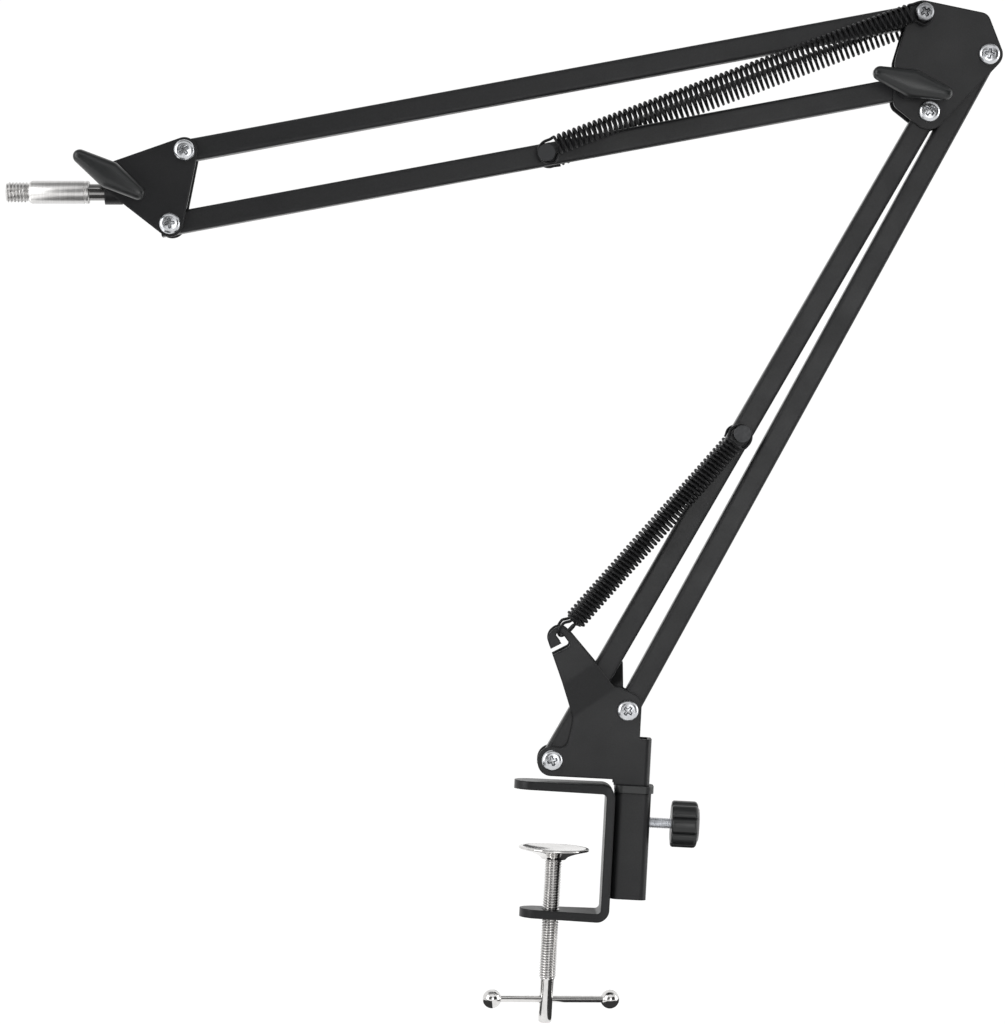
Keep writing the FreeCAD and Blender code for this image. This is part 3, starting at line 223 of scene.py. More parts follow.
def round_angles(count):
    """Even angles round a circle."""
    return np.linspace(0, 2 * np.pi, count, endpoint=False)


def grid_quads(rows, columns):
    """Corner numbers of the quads on a grid of rows whose columns close into rings."""
    row = np.arange(rows - 1)[:, None] * columns
    column = np.arange(columns)[None, :]
    beside = (column + 1) % columns
    corners = [row + column, row + beside, row + columns + beside, row + columns + column]
    return np.stack(corners, -1).reshape(-1, 4)


def finish_mesh(mesh):
    """Merge doubles, turn the faces outwards and shade smooth up to the crease angle."""
    clean = bmesh.new()
    clean.from_mesh(mesh)
    bmesh.ops.remove_doubles(clean, verts=clean.verts, dist=1e-6)
    bmesh.ops.recalc_face_normals(clean, faces=clean.faces)
    clean.to_mesh(mesh)
    clean.free()
    mesh.polygons.foreach_set("use_smooth", np.ones(len(mesh.polygons), bool))
    mesh.set_sharp_from_angle(angle=CREASE)


def hold(name, data):
    """Object at the origin that holds a mesh, a lamp or a camera, linked to the scene."""
    holder = bpy.data.objects.new(name, data)
    bpy.context.scene.collection.objects.link(holder)
    return holder


def new_object(name, surfaces):
    """Object at the origin from grids of points (rows, columns, 3) whose columns close into rings.

    A grid may carry a fourth number, how deep its point lies in a thread or recess, which becomes the
    attribute "groove". A grid whose last ring lies on its first is a closed tube. Otherwise its end rings
    are closed: a ring that has shrunk to a point is merged, a wider one gets a face.
    """
    points = []
    faces = []
    grooves = []
    start = 0
    for grid in surfaces:
        rows, columns = grid.shape[:2]
        grooves.append(grid[..., 3].ravel() if grid.shape[2] > 3 else np.zeros(rows * columns))
        grid = grid[..., :3]
        points.append(grid.reshape(-1, 3))
        faces += (grid_quads(rows, columns) + start).tolist()
        if not np.allclose(grid[0], grid[-1], atol=1e-7):
            faces.append(list(range(start, start + columns)))
            faces.append(list(range(start + (rows - 1) * columns, start + rows * columns)))
        start += rows * columns
    mesh = bpy.data.meshes.new(name)
    mesh.from_pydata(np.concatenate(points).tolist(), [], faces)
    # The attribute groove is what the metal finishes darken as painted shade in threads and recesses.
    mesh.attributes.new("groove", "FLOAT", "POINT").data.foreach_set("value", np.concatenate(grooves))
    finish_mesh(mesh)
    return hold(name, mesh)


def dress(name, surfaces, node, material=None):
    """Piece that stands for a frame node, in the node's material slot or in a finish of its own."""
    piece = new_object(name, surfaces)
    piece.data.materials.append(MATERIALS[material or SLOT_OF[node]])
    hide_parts(node)
    return piece


def bore(piece, start, end, radius):
    """Take a round hole out of a piece: a cylinder from start to end is cut away."""
    span = np.linalg.norm(end - start)
    cylinder = turned([(0.0, radius), (span, radius)], start, (end - start) / span, sides=40)
    tool = new_object("bore_tool", [cylinder])
    cut = piece.modifiers.new("bore", "BOOLEAN")
    cut.operation = "DIFFERENCE"
    cut.object = tool
    old = piece.data
    shape = bpy.data.meshes.new_from_object(piece.evaluated_get(bpy.context.evaluated_depsgraph_get()))
    piece.modifiers.clear()
    piece.data = shape
    bpy.data.meshes.remove(old)
    bpy.data.objects.remove(tool)
    finish_mesh(shape)


def thread_wave(along, angle, pitch):
    """Depth of a thread from 0 to 1: a flattened triangle wave of along / pitch - angle / 2 pi."""
    phase = (along / pitch - angle / (2 * np.pi)) % 1.0
    return np.clip(1.5 * np.abs(2 * phase - 1) - 0.25, 0, 1)


def turned(stations, origin, axis, sides, pitch=1.0):
    """Turned surface about an axis, with threads.

    Stations are (along, radius) or (along, radius, thread depth), and the radius runs straight from one to
    the next. Where there is depth, the radius falls by the depth times the thread's wave.
    """
    stations = [(*station, 0.0)[:3] for station in stations]
    along = []
    radius = []
    depth = []
    for (z0, r0, d0), (z1, r1, d1) in zip(stations, stations[1:]):
        threaded = d0 > 0 or d1 > 0
        count = max(2, math.ceil(abs(z1 - z0) / pitch * THREAD_ROWS) + 1) if threaded else 2
        along.append(np.linspace(z0, z1, count))
        radius.append(np.linspace(r0, r1, count))
        depth.append(np.linspace(d0, d1, count))
    along = np.concatenate(along)[:, None]
    radius = np.concatenate(radius)[:, None]
    depth = np.concatenate(depth)[:, None]
    angle = round_angles(sides)[None, :]
    wave = thread_wave(along, angle, pitch)
    out = radius - depth * wave
    first, second = basis(axis)
    ring = np.cos(angle)[..., None] * first + np.sin(angle)[..., None] * second
    points = origin + along[..., None] * axis + out[..., None] * ring
    # The fourth column is the thread's wave, by which the metal finishes paint shade into the thread.
    return np.concatenate([points, np.where(depth > 0, wave, 0.0)[..., None]], -1)


def tube(path, reference, radius, sides):
    """Round wire along a path: at each point a circle across the heading, from the reference direction on."""
    heading = np.gradient(path, axis=0)
    heading /= np.linalg.norm(heading, axis=1, keepdims=True)
    first = reference - (reference * heading).sum(1, keepdims=True) * heading
    first /= np.linalg.norm(first, axis=1, keepdims=True)
    second = np.cross(heading, first)
    angle = round_angles(sides)[None, :, None]
    ring = np.cos(angle) * first[:, None, :] + np.sin(angle) * second[:, None, :]
    return path[:, None, :] + radius * ring


def loop_end(springs, loop_angle, offset):
    """Wire from the coil's end to its tip, in (along, aside, across) axes, with its reference directions.

    A cubic curve leads from the coil's tangent to the loop's side. The wire then runs straight, turns round
    half a circle in the plane at loop_angle about the line through (0, -offset, 0), and comes back to the
    coil's other side along a smooth step.
    """
    lead = springs.loop_lead
    ring = lead + springs.loop_straight
    radius = springs.loop_radius
    plane = np.array([0.0, np.cos(loop_angle), np.sin(loop_angle)])
    ahead = X_AXIS
    middle = np.array([0.0, -offset, 0.0])
    leave = loop_angle - springs.leave_angle
    from_coil = springs.coil_radius * np.array([0.0, np.cos(leave), np.sin(leave)])
    heading = np.array([0.0, -np.sin(leave), np.cos(leave)])
    to_loop = lead * ahead + radius * plane + middle
    pull = np.linalg.norm(to_loop - from_coil)
    share = np.linspace(0, 1, 11)[1:, None]
    lead_in = (
        from_coil * (1 + 2 * share) * (1 - share) ** 2 + heading * pull * share * (1 - share) ** 2
        + to_loop * share ** 2 * (3 - 2 * share) + ahead * pull * share ** 2 * (share - 1))
    lead_reference = from_coil / springs.coil_radius * (1 - share) + plane * share
    turn = np.linspace(0, np.pi, 25)
    along = np.concatenate([np.linspace(lead, ring, 4)[1:-1], ring + radius * np.sin(turn)])
    across = np.concatenate([np.full(2, radius), radius * np.cos(turn)])
    tilt = np.concatenate([np.zeros(2), turn])
    loop = middle + along[:, None] * ahead + across[:, None] * plane
    loop_reference = np.sin(tilt)[:, None] * ahead + np.cos(tilt)[:, None] * plane
    back = np.linspace(0, 1, 9)[1:, None]
    drawn = smooth_step(back)
    tip = springs.wire_radius / 2
    home = (
        (ring + (tip - ring) * back) * ahead + (1 - drawn) * (middle - radius * plane)
        - drawn * springs.coil_radius * plane)
    home_reference = np.repeat(-plane[None, :], len(back), axis=0)
    path = np.concatenate([lead_in, loop, home])
    return path, np.concatenate([lead_reference, loop_reference, home_reference])


def spring_surface(springs, start, end, turns, start_loop, offsets, plane):
    """Tension spring between two points in the plane y = plane.

    Its coil is a helix of constant pitch whose axis passes the points at the given offsets. Each end leaves
    the coil into a loop about its own point.
    """
    points_per_turn = 20
    reach = springs.loop_lead + springs.loop_straight + springs.loop_radius
    across = Y_AXIS
    aside = np.cross(across, end - start)
    aside /= np.linalg.norm(aside)
    axis_start = start + aside * offsets[0]
    along = end + aside * offsets[1] - axis_start
    coil_length = np.linalg.norm(along) - 2 * reach
    along /= np.linalg.norm(along)
    start_leave = start_loop + springs.leave_angle
    sweep = -springs.leave_angle - start_leave + 2 * np.pi * turns
    turned_by = np.linspace(0, sweep, turns * points_per_turn)
    angle = start_leave + turned_by
    radial = np.stack([0 * angle, np.cos(angle), np.sin(angle)], -1)
    coil = springs.coil_radius * radial
    coil[:, 0] = coil_length * turned_by / sweep
    last, last_reference = loop_end(springs, 0.0, offsets[1])
    first, first_reference = loop_end(springs, -start_loop, offsets[0])
    flip = np.array([-1.0, 1.0, -1.0])
    path = np.concatenate([(first * flip)[::-1], coil, last + np.array([coil_length, 0, 0])])
    reference = np.concatenate([(first_reference * flip)[::-1], radial, last_reference])
    axes = np.stack([along, np.cross(across, along), across])
    origin = axis_start + along * reach + across * plane
    return tube(path @ axes + origin, reference @ axes, springs.wire_radius, sides=10)


def smooth_step(value):
    """Rise from 0 to 1 with level ends: 3 v ** 2 - 2 v ** 3 on values held between 0 and 1."""
    held = np.clip(value, 0, 1)
    return held * held * (3 - 2 * held)


def screw_surface(screws, threads, place, low, high, head_radius, turn):
    """Pan-head screw along y from low, the head's top, to high, the thread's end.

    Rows run from the head's middle over a crowned face and a round rim, under the head and along the shank.
    On the face each point sinks by the recess depth times the larger of two crossed smooth boxes.
    """
    crown = 0.3 * MM
    thread_length = 6.0 * MM
    chamfer = 0.7 * MM
    soft = 0.22 * MM
    fade = 0.9 * MM
    pitch = threads.small_pitch
    rim = head_radius - screws.head_round
    face = np.linspace(0, rim, 24)
    edge = np.radians(np.linspace(0, 90, 9))[1:]
    side = low + screws.head_height
    shank = screws.shank_radius
    thread = np.arange(high - thread_length, high - chamfer, pitch / THREAD_ROWS)
    radius = np.concatenate([
        face, rim + screws.head_round * np.sin(edge), [head_radius, shank, shank],
        np.full(len(thread), shank), [shank - chamfer, 0.0]])
    height = np.concatenate([
        low + crown * (face / rim) ** 2, low + crown + (screws.head_round - crown) * (1 - np.cos(edge)),
        [side, side, thread[0]], thread, [high, high]])[:, None]
    angle = round_angles(FASTENER_SIDES)[None, :]
    x = radius[:, None] * np.cos(angle)
    z = radius[:, None] * np.sin(angle)

    def arm(run, side_step):
        """One arm of the cross: a smooth box, 1 inside and 0 outside."""
        wide = smooth_step((screws.recess_width / 2 + soft - np.abs(side_step)) / (2 * soft))
        return wide * smooth_step((screws.recess_span / 2 - np.abs(run)) / fade)

    u = x * math.cos(turn) + z * math.sin(turn)
    v = z * math.cos(turn) - x * math.sin(turn)
    sunk = screws.recess_depth * np.maximum(arm(u, v), arm(v, u))
    on_face = np.arange(len(radius))[:, None] < len(face) + len(edge)
    height = height + np.where(on_face, sunk, 0.0)
    threaded = np.zeros(len(radius))
    threaded[-2 - len(thread):-2] = threads.depth_share * pitch
    wave = thread_wave(height, angle, pitch)
    share = 1 - threaded[:, None] * wave / np.maximum(radius, MM)[:, None]
    # Groove: share of the recess depth on the face and thread wave on the shank, by which the metal finish paints
    # shade into them.
    groove = np.where(on_face, sunk / screws.recess_depth, wave * (threaded[:, None] > 0))
    return np.stack([place[0] + x * share, height, place[2] + z * share, groove], -1)


def nut_surface(screws, place, low, high):
    """Hexagon nut along y with chamfered corners and a locking collar.

    The outer radius at angle t is flat / cos(t mod 60 - 30 degrees). Each chamfer rises with that radius at
    30 degrees from a circle a little inside the flats.
    """
    circle_share = 0.97
    collar_share = 0.82
    collar_bevel = 0.4 * MM
    flat = screws.nut_flats / 2
    step = high - screws.nut_collar
    angle = round_angles(FASTENER_SIDES)
    level = np.zeros(len(angle))
    hexagon = flat / np.cos(angle % (np.pi / 3) - np.pi / 6)
    circle = level + flat * circle_share
    bevel = (hexagon - circle) * math.tan(math.radians(30))
    hole = level + screws.shank_radius
    collar = level + flat * collar_share
    radius = np.stack([
        hole, circle, hexagon, hexagon, circle, collar, collar, collar - collar_bevel, hole, hole])
    height = np.stack([
        level + low, level + low, low + bevel, step - bevel, level + step, level + step,
        level + high - collar_bevel, level + high, level + high, level + low])
    return np.stack([place[0] + radius * np.cos(angle), height, place[2] + radius * np.sin(angle)], -1)


def wing_surface(knobs, place, turn, low, high):
    """Wing of a knob between the planes y = low and y = high.

    Along its length the half width is that of a belt round the hub's and the tips' circles. Each section is
    the superellipse |v / width| ** 2.6 + |y / height| ** 2.6 = 1, whose height falls a little towards the
    tips and closes at them.
    """
    squareness = 2.6
    tip_fall = 0.14
    reach = knobs.wing_span / 2
    tip = knobs.wing_tip
    hub = knobs.wing_hub
    centre = reach - tip
    lean = (hub - tip) / centre
    run = reach * np.sin(np.linspace(-np.pi / 2, np.pi / 2, 65))
    far = np.abs(run)
    belt = (hub - far * lean) / math.sqrt(1 - lean * lean)
    at_hub = np.sqrt(np.maximum(hub * hub - far * far, 0))
    at_tip = np.sqrt(np.maximum(tip * tip - (far - centre) ** 2, 0))
    width = np.where(far < hub * lean, at_hub, np.where(far < centre + tip * lean, belt, at_tip))
    share = far / reach
    height = (high - low) / 2 * (1 - tip_fall * share ** 2) * (1 - share ** 16) ** 0.25
    angle = round_angles(48)
    power = 2 / squareness
    v = np.sign(np.cos(angle)) * np.abs(np.cos(angle)) ** power
    y = np.sign(np.sin(angle)) * np.abs(np.sin(angle)) ** power
    along = np.array([math.cos(turn), 0.0, math.sin(turn)])
    aside = np.array([-math.sin(turn), 0.0, math.cos(turn)])
    middle = np.array([place[0], (low + high) / 2, place[2]])
    return (
        middle + run[:, None, None] * along + (width[:, None] * v)[..., None] * aside
        + (height[:, None] * y)[..., None] * Y_AXIS)


def lobed_surface(knobs, start, axis, depth, radius, bore_radius, bore_depth):
    """Lobed knob along an axis, with its bore, a bevelled rim and a dished outer face.

    Rows are (along, radius, share of the lobe depth). At angle t from the middle of a lobe the radius falls
    by that share times the lobe depth times (t / half a lobe) ** 4, so the lobes are round and meet in narrow
    grooves, which fade out on the face.
    """
    edge = 1.2 * MM
    dish = 0.5 * MM
    bevel = knobs.lock_bevel
    bevel_rise = 0.75 * bevel
    fade = 0.7
    face = radius - 1.5 * bevel
    hollow = radius - 1.9 * bevel
    rim = np.radians(np.linspace(0, 90, 7))
    soft = np.radians(np.linspace(0, 90, 9))
    rows = [(bore_depth, 0.0, 0.0), (bore_depth, bore_radius, 0.0), (0.0, bore_radius, 0.0)]
    rows += [(edge - edge * math.cos(a), radius - edge + edge * math.sin(a), 1.0) for a in rim]
    for a in soft:
        level = depth - bevel + bevel_rise * math.sin(a)
        rows.append((level, radius - bevel * (1 - math.cos(a)), 1 - fade * math.sin(a)))
    rows += [(depth, face, 0.1), (depth - dish, hollow, 0.0), (depth - dish, 0.0, 0.0)]
    along, out, share = np.array(rows).T
    angle = round_angles(30 * knobs.lobes)
    half = np.pi / knobs.lobes
    off = np.abs((angle + half) % (2 * half) - half) / half
    profile = out[:, None] - share[:, None] * knobs.lobe_depth * off[None, :] ** 4
    first, second = basis(axis)
    ring = np.cos(angle)[:, None] * first + np.sin(angle)[:, None] * second
    return start + along[:, None, None] * axis + profile[..., None] * ring[None]


def make(tree, kind, **values):
    """Add a node to a tree and give values to its sockets and settings."""
    node = tree.nodes.new(kind)
    for key, value in values.items():
        if key in node.inputs:
            node.inputs[key].default_value = value
        else:
            setattr(node, key, value)
    return node


def node_tree(name):
    """New material; gives the material, its tree and its principled shader."""
    material = bpy.data.materials.new(name)
    material.use_nodes = True
    return material, material.node_tree, material.node_tree.nodes["Principled BSDF"]


def glow_tree(name):
    """New material without a shader; gives the material, its tree and its output's socket."""
    material, tree, _ = node_tree(name)
    tree.nodes.clear()
    return material, tree, make(tree, "ShaderNodeOutputMaterial").inputs["Surface"]


def grain(tree, scale, detail=3.0, stretch=(1.0, 1.0, 1.0), tilt=0.0):
    """Noise on Object coordinates, with features 1 / scale metres across, tilted about y and stretched."""
    place = make(tree, "ShaderNodeTexCoord")
    mapping = make(tree, "ShaderNodeMapping", Scale=stretch, Rotation=(0.0, tilt, 0.0))
    noise = make(tree, "ShaderNodeTexNoise", Scale=scale, Detail=detail, Roughness=0.6)
    tree.links.new(place.outputs["Object"], mapping.inputs["Vector"])
    tree.links.new(mapping.outputs["Vector"], noise.inputs["Vector"])
    return noise.outputs["Fac"]


def ramp(tree, source, low, high, start=0.3, end=0.7):
    """Numbers or colours that follow a noise from one value to another."""
    if np.isscalar(low):
        limits = {"From Min": start, "From Max": end, "To Min": low, "To Max": high}
        node = make(tree, "ShaderNodeMapRange", **limits)
        tree.links.new(source, node.inputs["Value"])
        return node.outputs["Result"]
    node = make(tree, "ShaderNodeValToRGB")
    for stop, position, shade in zip(node.color_ramp.elements, (start, end), (low, high)):
        stop.position = position
        stop.color = (*shade, 1.0)
    tree.links.new(source, node.inputs["Fac"])
    return node.outputs["Color"]


def relief(tree, shader, source, strength, distance, edge=0.0):
    """Bump from a noise, over edges whose shading is rounded by the given radius."""
    bump = make(tree, "ShaderNodeBump", Strength=strength, Distance=distance)
    tree.links.new(source, bump.inputs["Height"])
    tree.links.new(bump.outputs["Normal"], shader.inputs["Normal"])
    if edge > 0:
        rounded = make(tree, "ShaderNodeBevel", Radius=edge, samples=4)
        tree.links.new(rounded.outputs["Normal"], bump.inputs["Normal"])


def tone(shade, factor):
    """Colour times a factor."""
    return tuple(channel * factor for channel in shade)


def paint_material(name, shade):
    """Powder paint on steel: fine orange peel, faint specks and uneven gloss."""
    material, tree, shader = node_tree(name)
    fine = grain(tree, scale=1800.0, detail=2.0)
    cloud = grain(tree, scale=45.0, detail=4.0)
    specks = ramp(tree, fine, tone(shade, 0.8), tone(shade, 1.4), start=0.35, end=0.75)
    tree.links.new(specks, shader.inputs["Base Color"])
    tree.links.new(ramp(tree, cloud, 0.3, 0.4), shader.inputs["Roughness"])
    shader.inputs["Specular IOR Level"].default_value = 0.3
    relief(tree, shader, fine, strength=0.25, distance=0.00006, edge=0.0012)
    return material


def wire_material(name, shade):
    """Blackened spring wire with a dull sheen."""
    material, tree, shader = node_tree(name)
    cloud = grain(tree, scale=600.0, detail=2.0)
    tree.links.new(ramp(tree, cloud, tone(shade, 0.7), tone(shade, 1.5)), shader.inputs["Base Color"])
    tree.links.new(ramp(tree, cloud, 0.3, 0.42), shader.inputs["Roughness"])
    shader.inputs["Specular IOR Level"].default_value = 0.2
    return material


def plastic_material(name, shade):
    """Moulded plastic with a fine spark-eroded texture."""
    material, tree, shader = node_tree(name)
    fine = grain(tree, scale=2600.0, detail=2.0)
    cloud = grain(tree, scale=120.0)
    tree.links.new(ramp(tree, cloud, tone(shade, 0.85), tone(shade, 1.2)), shader.inputs["Base Color"])
    tree.links.new(ramp(tree, cloud, 0.28, 0.36), shader.inputs["Roughness"])
    shader.inputs["Specular IOR Level"].default_value = 0.45
    relief(tree, shader, fine, strength=0.35, distance=0.00004)
    return material


def metal_material(name, shade, rough, scale, stretch=(1.0, 1.0, 1.0), tilt=0.0, depth=0.00002, deep=0.6):
    """Bright metal whose gloss and fine marks follow a noise, with painted shade deep in threads and recesses."""
    material, tree, shader = node_tree(name)
    shader.inputs["Metallic"].default_value = 1.0
    marks = grain(tree, scale, stretch=stretch, tilt=tilt)
    # Painted shade: the base colour is multiplied darker where the groove attribute puts a point deep in a thread
    # or recess.
    painted_groove_shade = make(tree, "ShaderNodeMix", data_type="RGBA", blend_type="MULTIPLY", Factor=1.0)
    groove = make(tree, "ShaderNodeAttribute", attribute_name="groove")
    shaded = ramp(tree, groove.outputs["Fac"], (1.0, 1.0, 1.0), (deep, deep, deep), start=0.1, end=0.95)
    tree.links.new(ramp(tree, marks, tone(shade, 0.88), tone(shade, 1.08)), painted_groove_shade.inputs["A"])
    tree.links.new(shaded, painted_groove_shade.inputs["B"])
    tree.links.new(painted_groove_shade.outputs["Result"], shader.inputs["Base Color"])
    tree.links.new(ramp(tree, marks, *rough), shader.inputs["Roughness"])
    relief(tree, shader, marks, strength=0.2, distance=depth)
    return material


class BOOM_OT_finishes(bpy.types.Operator):
    """Give every frame node its finish"""

    bl_idname = "boom.finishes"
    bl_label = "Finishes"

    def execute(self, context):
        finish = context.scene.boom_finish
        nickel = tuple(finish.nickel)
        zinc = tuple(finish.zinc)
        axis = joint_axis("mic_rod_turn")
        rod_tilt = math.atan2(axis[2], axis[0])
        fine = 0.000006
        MATERIALS.update({
            "black_paint": paint_material("satin_black_paint", tuple(finish.paint)),
            "spring_wire": wire_material("blackened_wire", tuple(finish.wire)),
            "knob_plastic": plastic_material("moulded_black", tuple(finish.plastic)),
            "bush_plastic": plastic_material("bush_black", tone(finish.plastic, 0.8)),
            "plated_steel": metal_material("zinc_plate", zinc, (0.2, 0.3), 500.0, depth=fine),
            # Painted light: a paler copy of the zinc plate that stands for the bright reflection along the lock
            # screw.
            "plate_painted_light": metal_material(
                "zinc_plate_painted_light", tone(zinc, 1.45), (0.45, 0.55), 500.0, depth=fine, deep=0.95),
            # Painted shade: a darker, rougher copy of the zinc plate for the spring bolt between the bars.
            "plate_painted_shade": metal_material(
                "zinc_plate_painted_shade", tone(zinc, 0.6), (0.34, 0.46), 500.0, depth=fine),
            # Painted shade: a darker copy of the nickel chrome for the microphone rod, which lies in the shade of
            # the plates and knob.
            "chrome_painted_shade": metal_material("chrome_painted_shade", tone(nickel, 0.4), (0.1, 0.18), 300.0, depth=fine),
            "dark_steel": metal_material("dark_pin_steel", tone(zinc, 0.07), (0.3, 0.45), 700.0),
            "bright_steel": metal_material("polished_nickel", nickel, (0.07, 0.15), 300.0, depth=0.00001),
            "turned_nickel": metal_material(
                "satin_nickel", tone(nickel, 0.96), (0.28, 0.34), 60.0, stretch=(40.0, 1.0, 1.0),
                tilt=rod_tilt, depth=0.000001, deep=0.85),
        })
        # The microphone rod takes the chrome with painted shade; the knob washers take the dark pin steel.
        own = {"mic_rod": "chrome_painted_shade", "elbow_knob_washer": "dark_steel", "head_knob_washer": "dark_steel"}
        for name, node in NODES.items():
            node.data.materials.clear()
            node.data.materials.append(MATERIALS[own.get(name, SLOT_OF[name])])
        return {"FINISHED"}


class BOOM_OT_springs(bpy.types.Operator):
    """Wind the four tension springs with all their coils"""

    bl_idname = "boom.springs"
    bl_label = "Springs"

    def execute(self, context):
        springs = context.scene.boom_springs
        seat = joint_place("lower_springs_swing")
        top = joint_place("upper_spring_swing")
        lower_pin = box_of("lower_spring_pin")[2]
        upper_pin = box_of("upper_spring_pin")[2]
        hang = springs.pin_radius + springs.wire_radius + springs.pin_clearance

        def on_pin(pin, other):
            """Point on a pin's far side, where a loop pulled towards the other end lies."""
            pull = (other - pin) / np.linalg.norm(other - pin)
            return pin - pull * hang

        for side, sign in (("near", -1), ("far", 1)):
            node = f"lower_spring_{side}"
            plane = box_of(node)[2][1]
            surface = spring_surface(
                springs, seat, on_pin(lower_pin, seat), springs.lower_turns, -sign * springs.seat_angle,
                (springs.seat_offset, 0.0), plane)
            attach(dress(f"wound_{node}", [surface], node), BODY_OF[node])
            node = f"upper_spring_{side}"
            plane = box_of(node)[2][1]
            offset = -sign * springs.upper_offset
            surface = spring_surface(
                springs, on_pin(top, upper_pin), on_pin(upper_pin, top), springs.upper_turns, 0.0,
                (offset, offset), plane)
            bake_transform(dress(f"wound_{node}", [surface], node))
        return {"FINISHED"}


class BOOM_OT_clamp(bpy.types.Operator):
    """Turn the clamp's threaded spindle, its pad and the lock screw"""

    bl_idname = "boom.clamp"
    bl_label = "Clamp screws"

    def execute(self, context):
        threads = context.scene.boom_threads
        self.spindle(threads)
        self.pad()
        self.lock_screw(threads)
        return {"FINISHED"}

    def spindle(self, threads):
        """Clamp screw: thread, runout and plain end with the cross hole for the bar."""
        low, high, middle = box_of("clamp_screw")
        radius = (high[0] - low[0]) / 2
        full = high[2] - low[2]
        end = full - threads.clamp_end
        depth = threads.depth_share * threads.clamp_pitch
        plain = threads.clamp_end_radius
        lead = 0.9 * MM
        runout = 1.0 * MM
        shoulder = 0.2 * MM
        step = 0.3 * MM
        bevel = 0.6 * MM
        stations = [
            (0.0, 0.0), (0.0, radius - lead), (lead, radius, depth), (end - runout, radius, depth),
            (end, plain + shoulder), (end + step, plain), (full - bevel, plain), (full, plain - bevel),
            (full, 0.0)]
        top = np.array([middle[0], middle[1], high[2]])
        surface = turned(stations, top, -Z_AXIS, sides=56, pitch=threads.clamp_pitch)
        piece = dress("threaded_spindle", [surface], "clamp_screw")
        bar_low, bar_high, bar_middle = box_of("tommy_bar")
        bar = np.array([middle[0], middle[1], bar_middle[2]])
        reach = 10 * MM * joint_axis("tommy_slide")
        play = 0.25 * MM
        bore(piece, bar - reach, bar + reach, (bar_high[2] - bar_low[2]) / 2 + play)
        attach(piece, BODY_OF["clamp_screw"])

    def pad(self):
        """Dished pad with a shallow bowl on top.

        Its underside rises as a power of the share of the way out.
        """
        low, high, middle = box_of("clamp_pad")
        radius = (high[0] - low[0]) / 2
        rim = 0.6 * MM
        foot = 0.3 * MM
        dish = 1.4 * MM
        hole = 4.1 * MM
        hub = 5.6 * MM
        gap = 0.1 * MM
        power = 0.62
        floor = box_of("clamp_screw")[1][2] + gap - low[2]
        full = high[2] - low[2]
        rise = full - 2 * rim - foot
        spread = radius - rim - hub - foot
        out = np.linspace(0, 1, 17)
        stations = [(floor, 0.0), (floor, hole), (0.0, hole), (0.0, hub)]
        stations += [(foot + rise * u ** power, hub + foot + spread * u) for u in out]
        edge = np.radians(np.linspace(20, 170, 9))
        stations += [(full - rim - rim * math.cos(a), radius - rim + rim * math.sin(a)) for a in edge]
        stations += [(full - dish * (1 - u * u), (radius - dish) * u) for u in out[::-1]]
        surface = turned(stations, np.array([middle[0], middle[1], low[2]]), Z_AXIS, sides=96)
        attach(dress("dished_pad", [surface], "clamp_pad"), BODY_OF["clamp_pad"])

    def lock_screw(self, threads):
        """Lock screw: a threaded stud into the socket."""
        low, high, middle = box_of("lock_screw")
        radius = (high[2] - low[2]) / 2
        full = high[0] - low[0]
        depth = threads.depth_share * threads.small_pitch
        lead = 0.6 * MM
        stations = [
            (0.0, 0.0), (0.0, radius - lead), (lead, radius, depth), (full, radius, depth), (full, 0.0)]
        start = np.array([low[0], middle[1], middle[2]])
        surface = turned(stations, start, X_AXIS, sides=48, pitch=threads.small_pitch)
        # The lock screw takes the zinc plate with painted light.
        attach(dress("threaded_lock_screw", [surface], "lock_screw", "plate_painted_light"), BODY_OF["lock_screw"])


class BOOM_OT_screws(bpy.types.Operator):
    """Make the cross-head pivot screws, the bolts and their nuts"""

    bl_idname = "boom.screws"
    bl_label = "Screws and nuts"

    def execute(self, context):
        screws = context.scene.boom_screws
        threads = context.scene.boom_threads
        next_turn = 0.55
        for group, first_turn in (("turret", 0.35), ("elbow", 0.9), ("head", 0.15)):
            node = f"{group}_pivot_screws"
            low, high, _ = box_of(node)
            inset = (X_AXIS + Z_AXIS) * screws.head_radius
            places = (low + inset, high - inset)
            surfaces = [
                screw_surface(
                    screws, threads, place, low[1], high[1], screws.head_radius,
                    first_turn + next_turn * step)
                for step, place in enumerate(places)]
            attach(dress(f"cross_head_{group}_screws", surfaces, node), BODY_OF[node])
            node = f"{group}_pivot_nuts"
            low, high, _ = box_of(node)
            surfaces = [nut_surface(screws, place, low[1], high[1]) for place in places]
            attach(dress(f"locking_{group}_nuts", surfaces, node), BODY_OF[node])
        low, high, middle = box_of("elbow_spring_bolt")
        surface = screw_surface(screws, threads, middle, low[1], high[1], screws.bolt_head_radius, turn=0.5)
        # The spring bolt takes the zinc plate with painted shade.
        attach(dress("cross_head_spring_bolt", [surface], "elbow_spring_bolt", "plate_painted_shade"),
                BODY_OF["elbow_spring_bolt"])
        for node in ("elbow_spring_nut", "elbow_knob_nut", "head_knob_nut"):
            low, high, middle = box_of(node)
            surface = nut_surface(screws, middle, low[1], high[1])
            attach(dress(f"locking_{node}", [surface], node), BODY_OF[node])
        return {"FINISHED"}


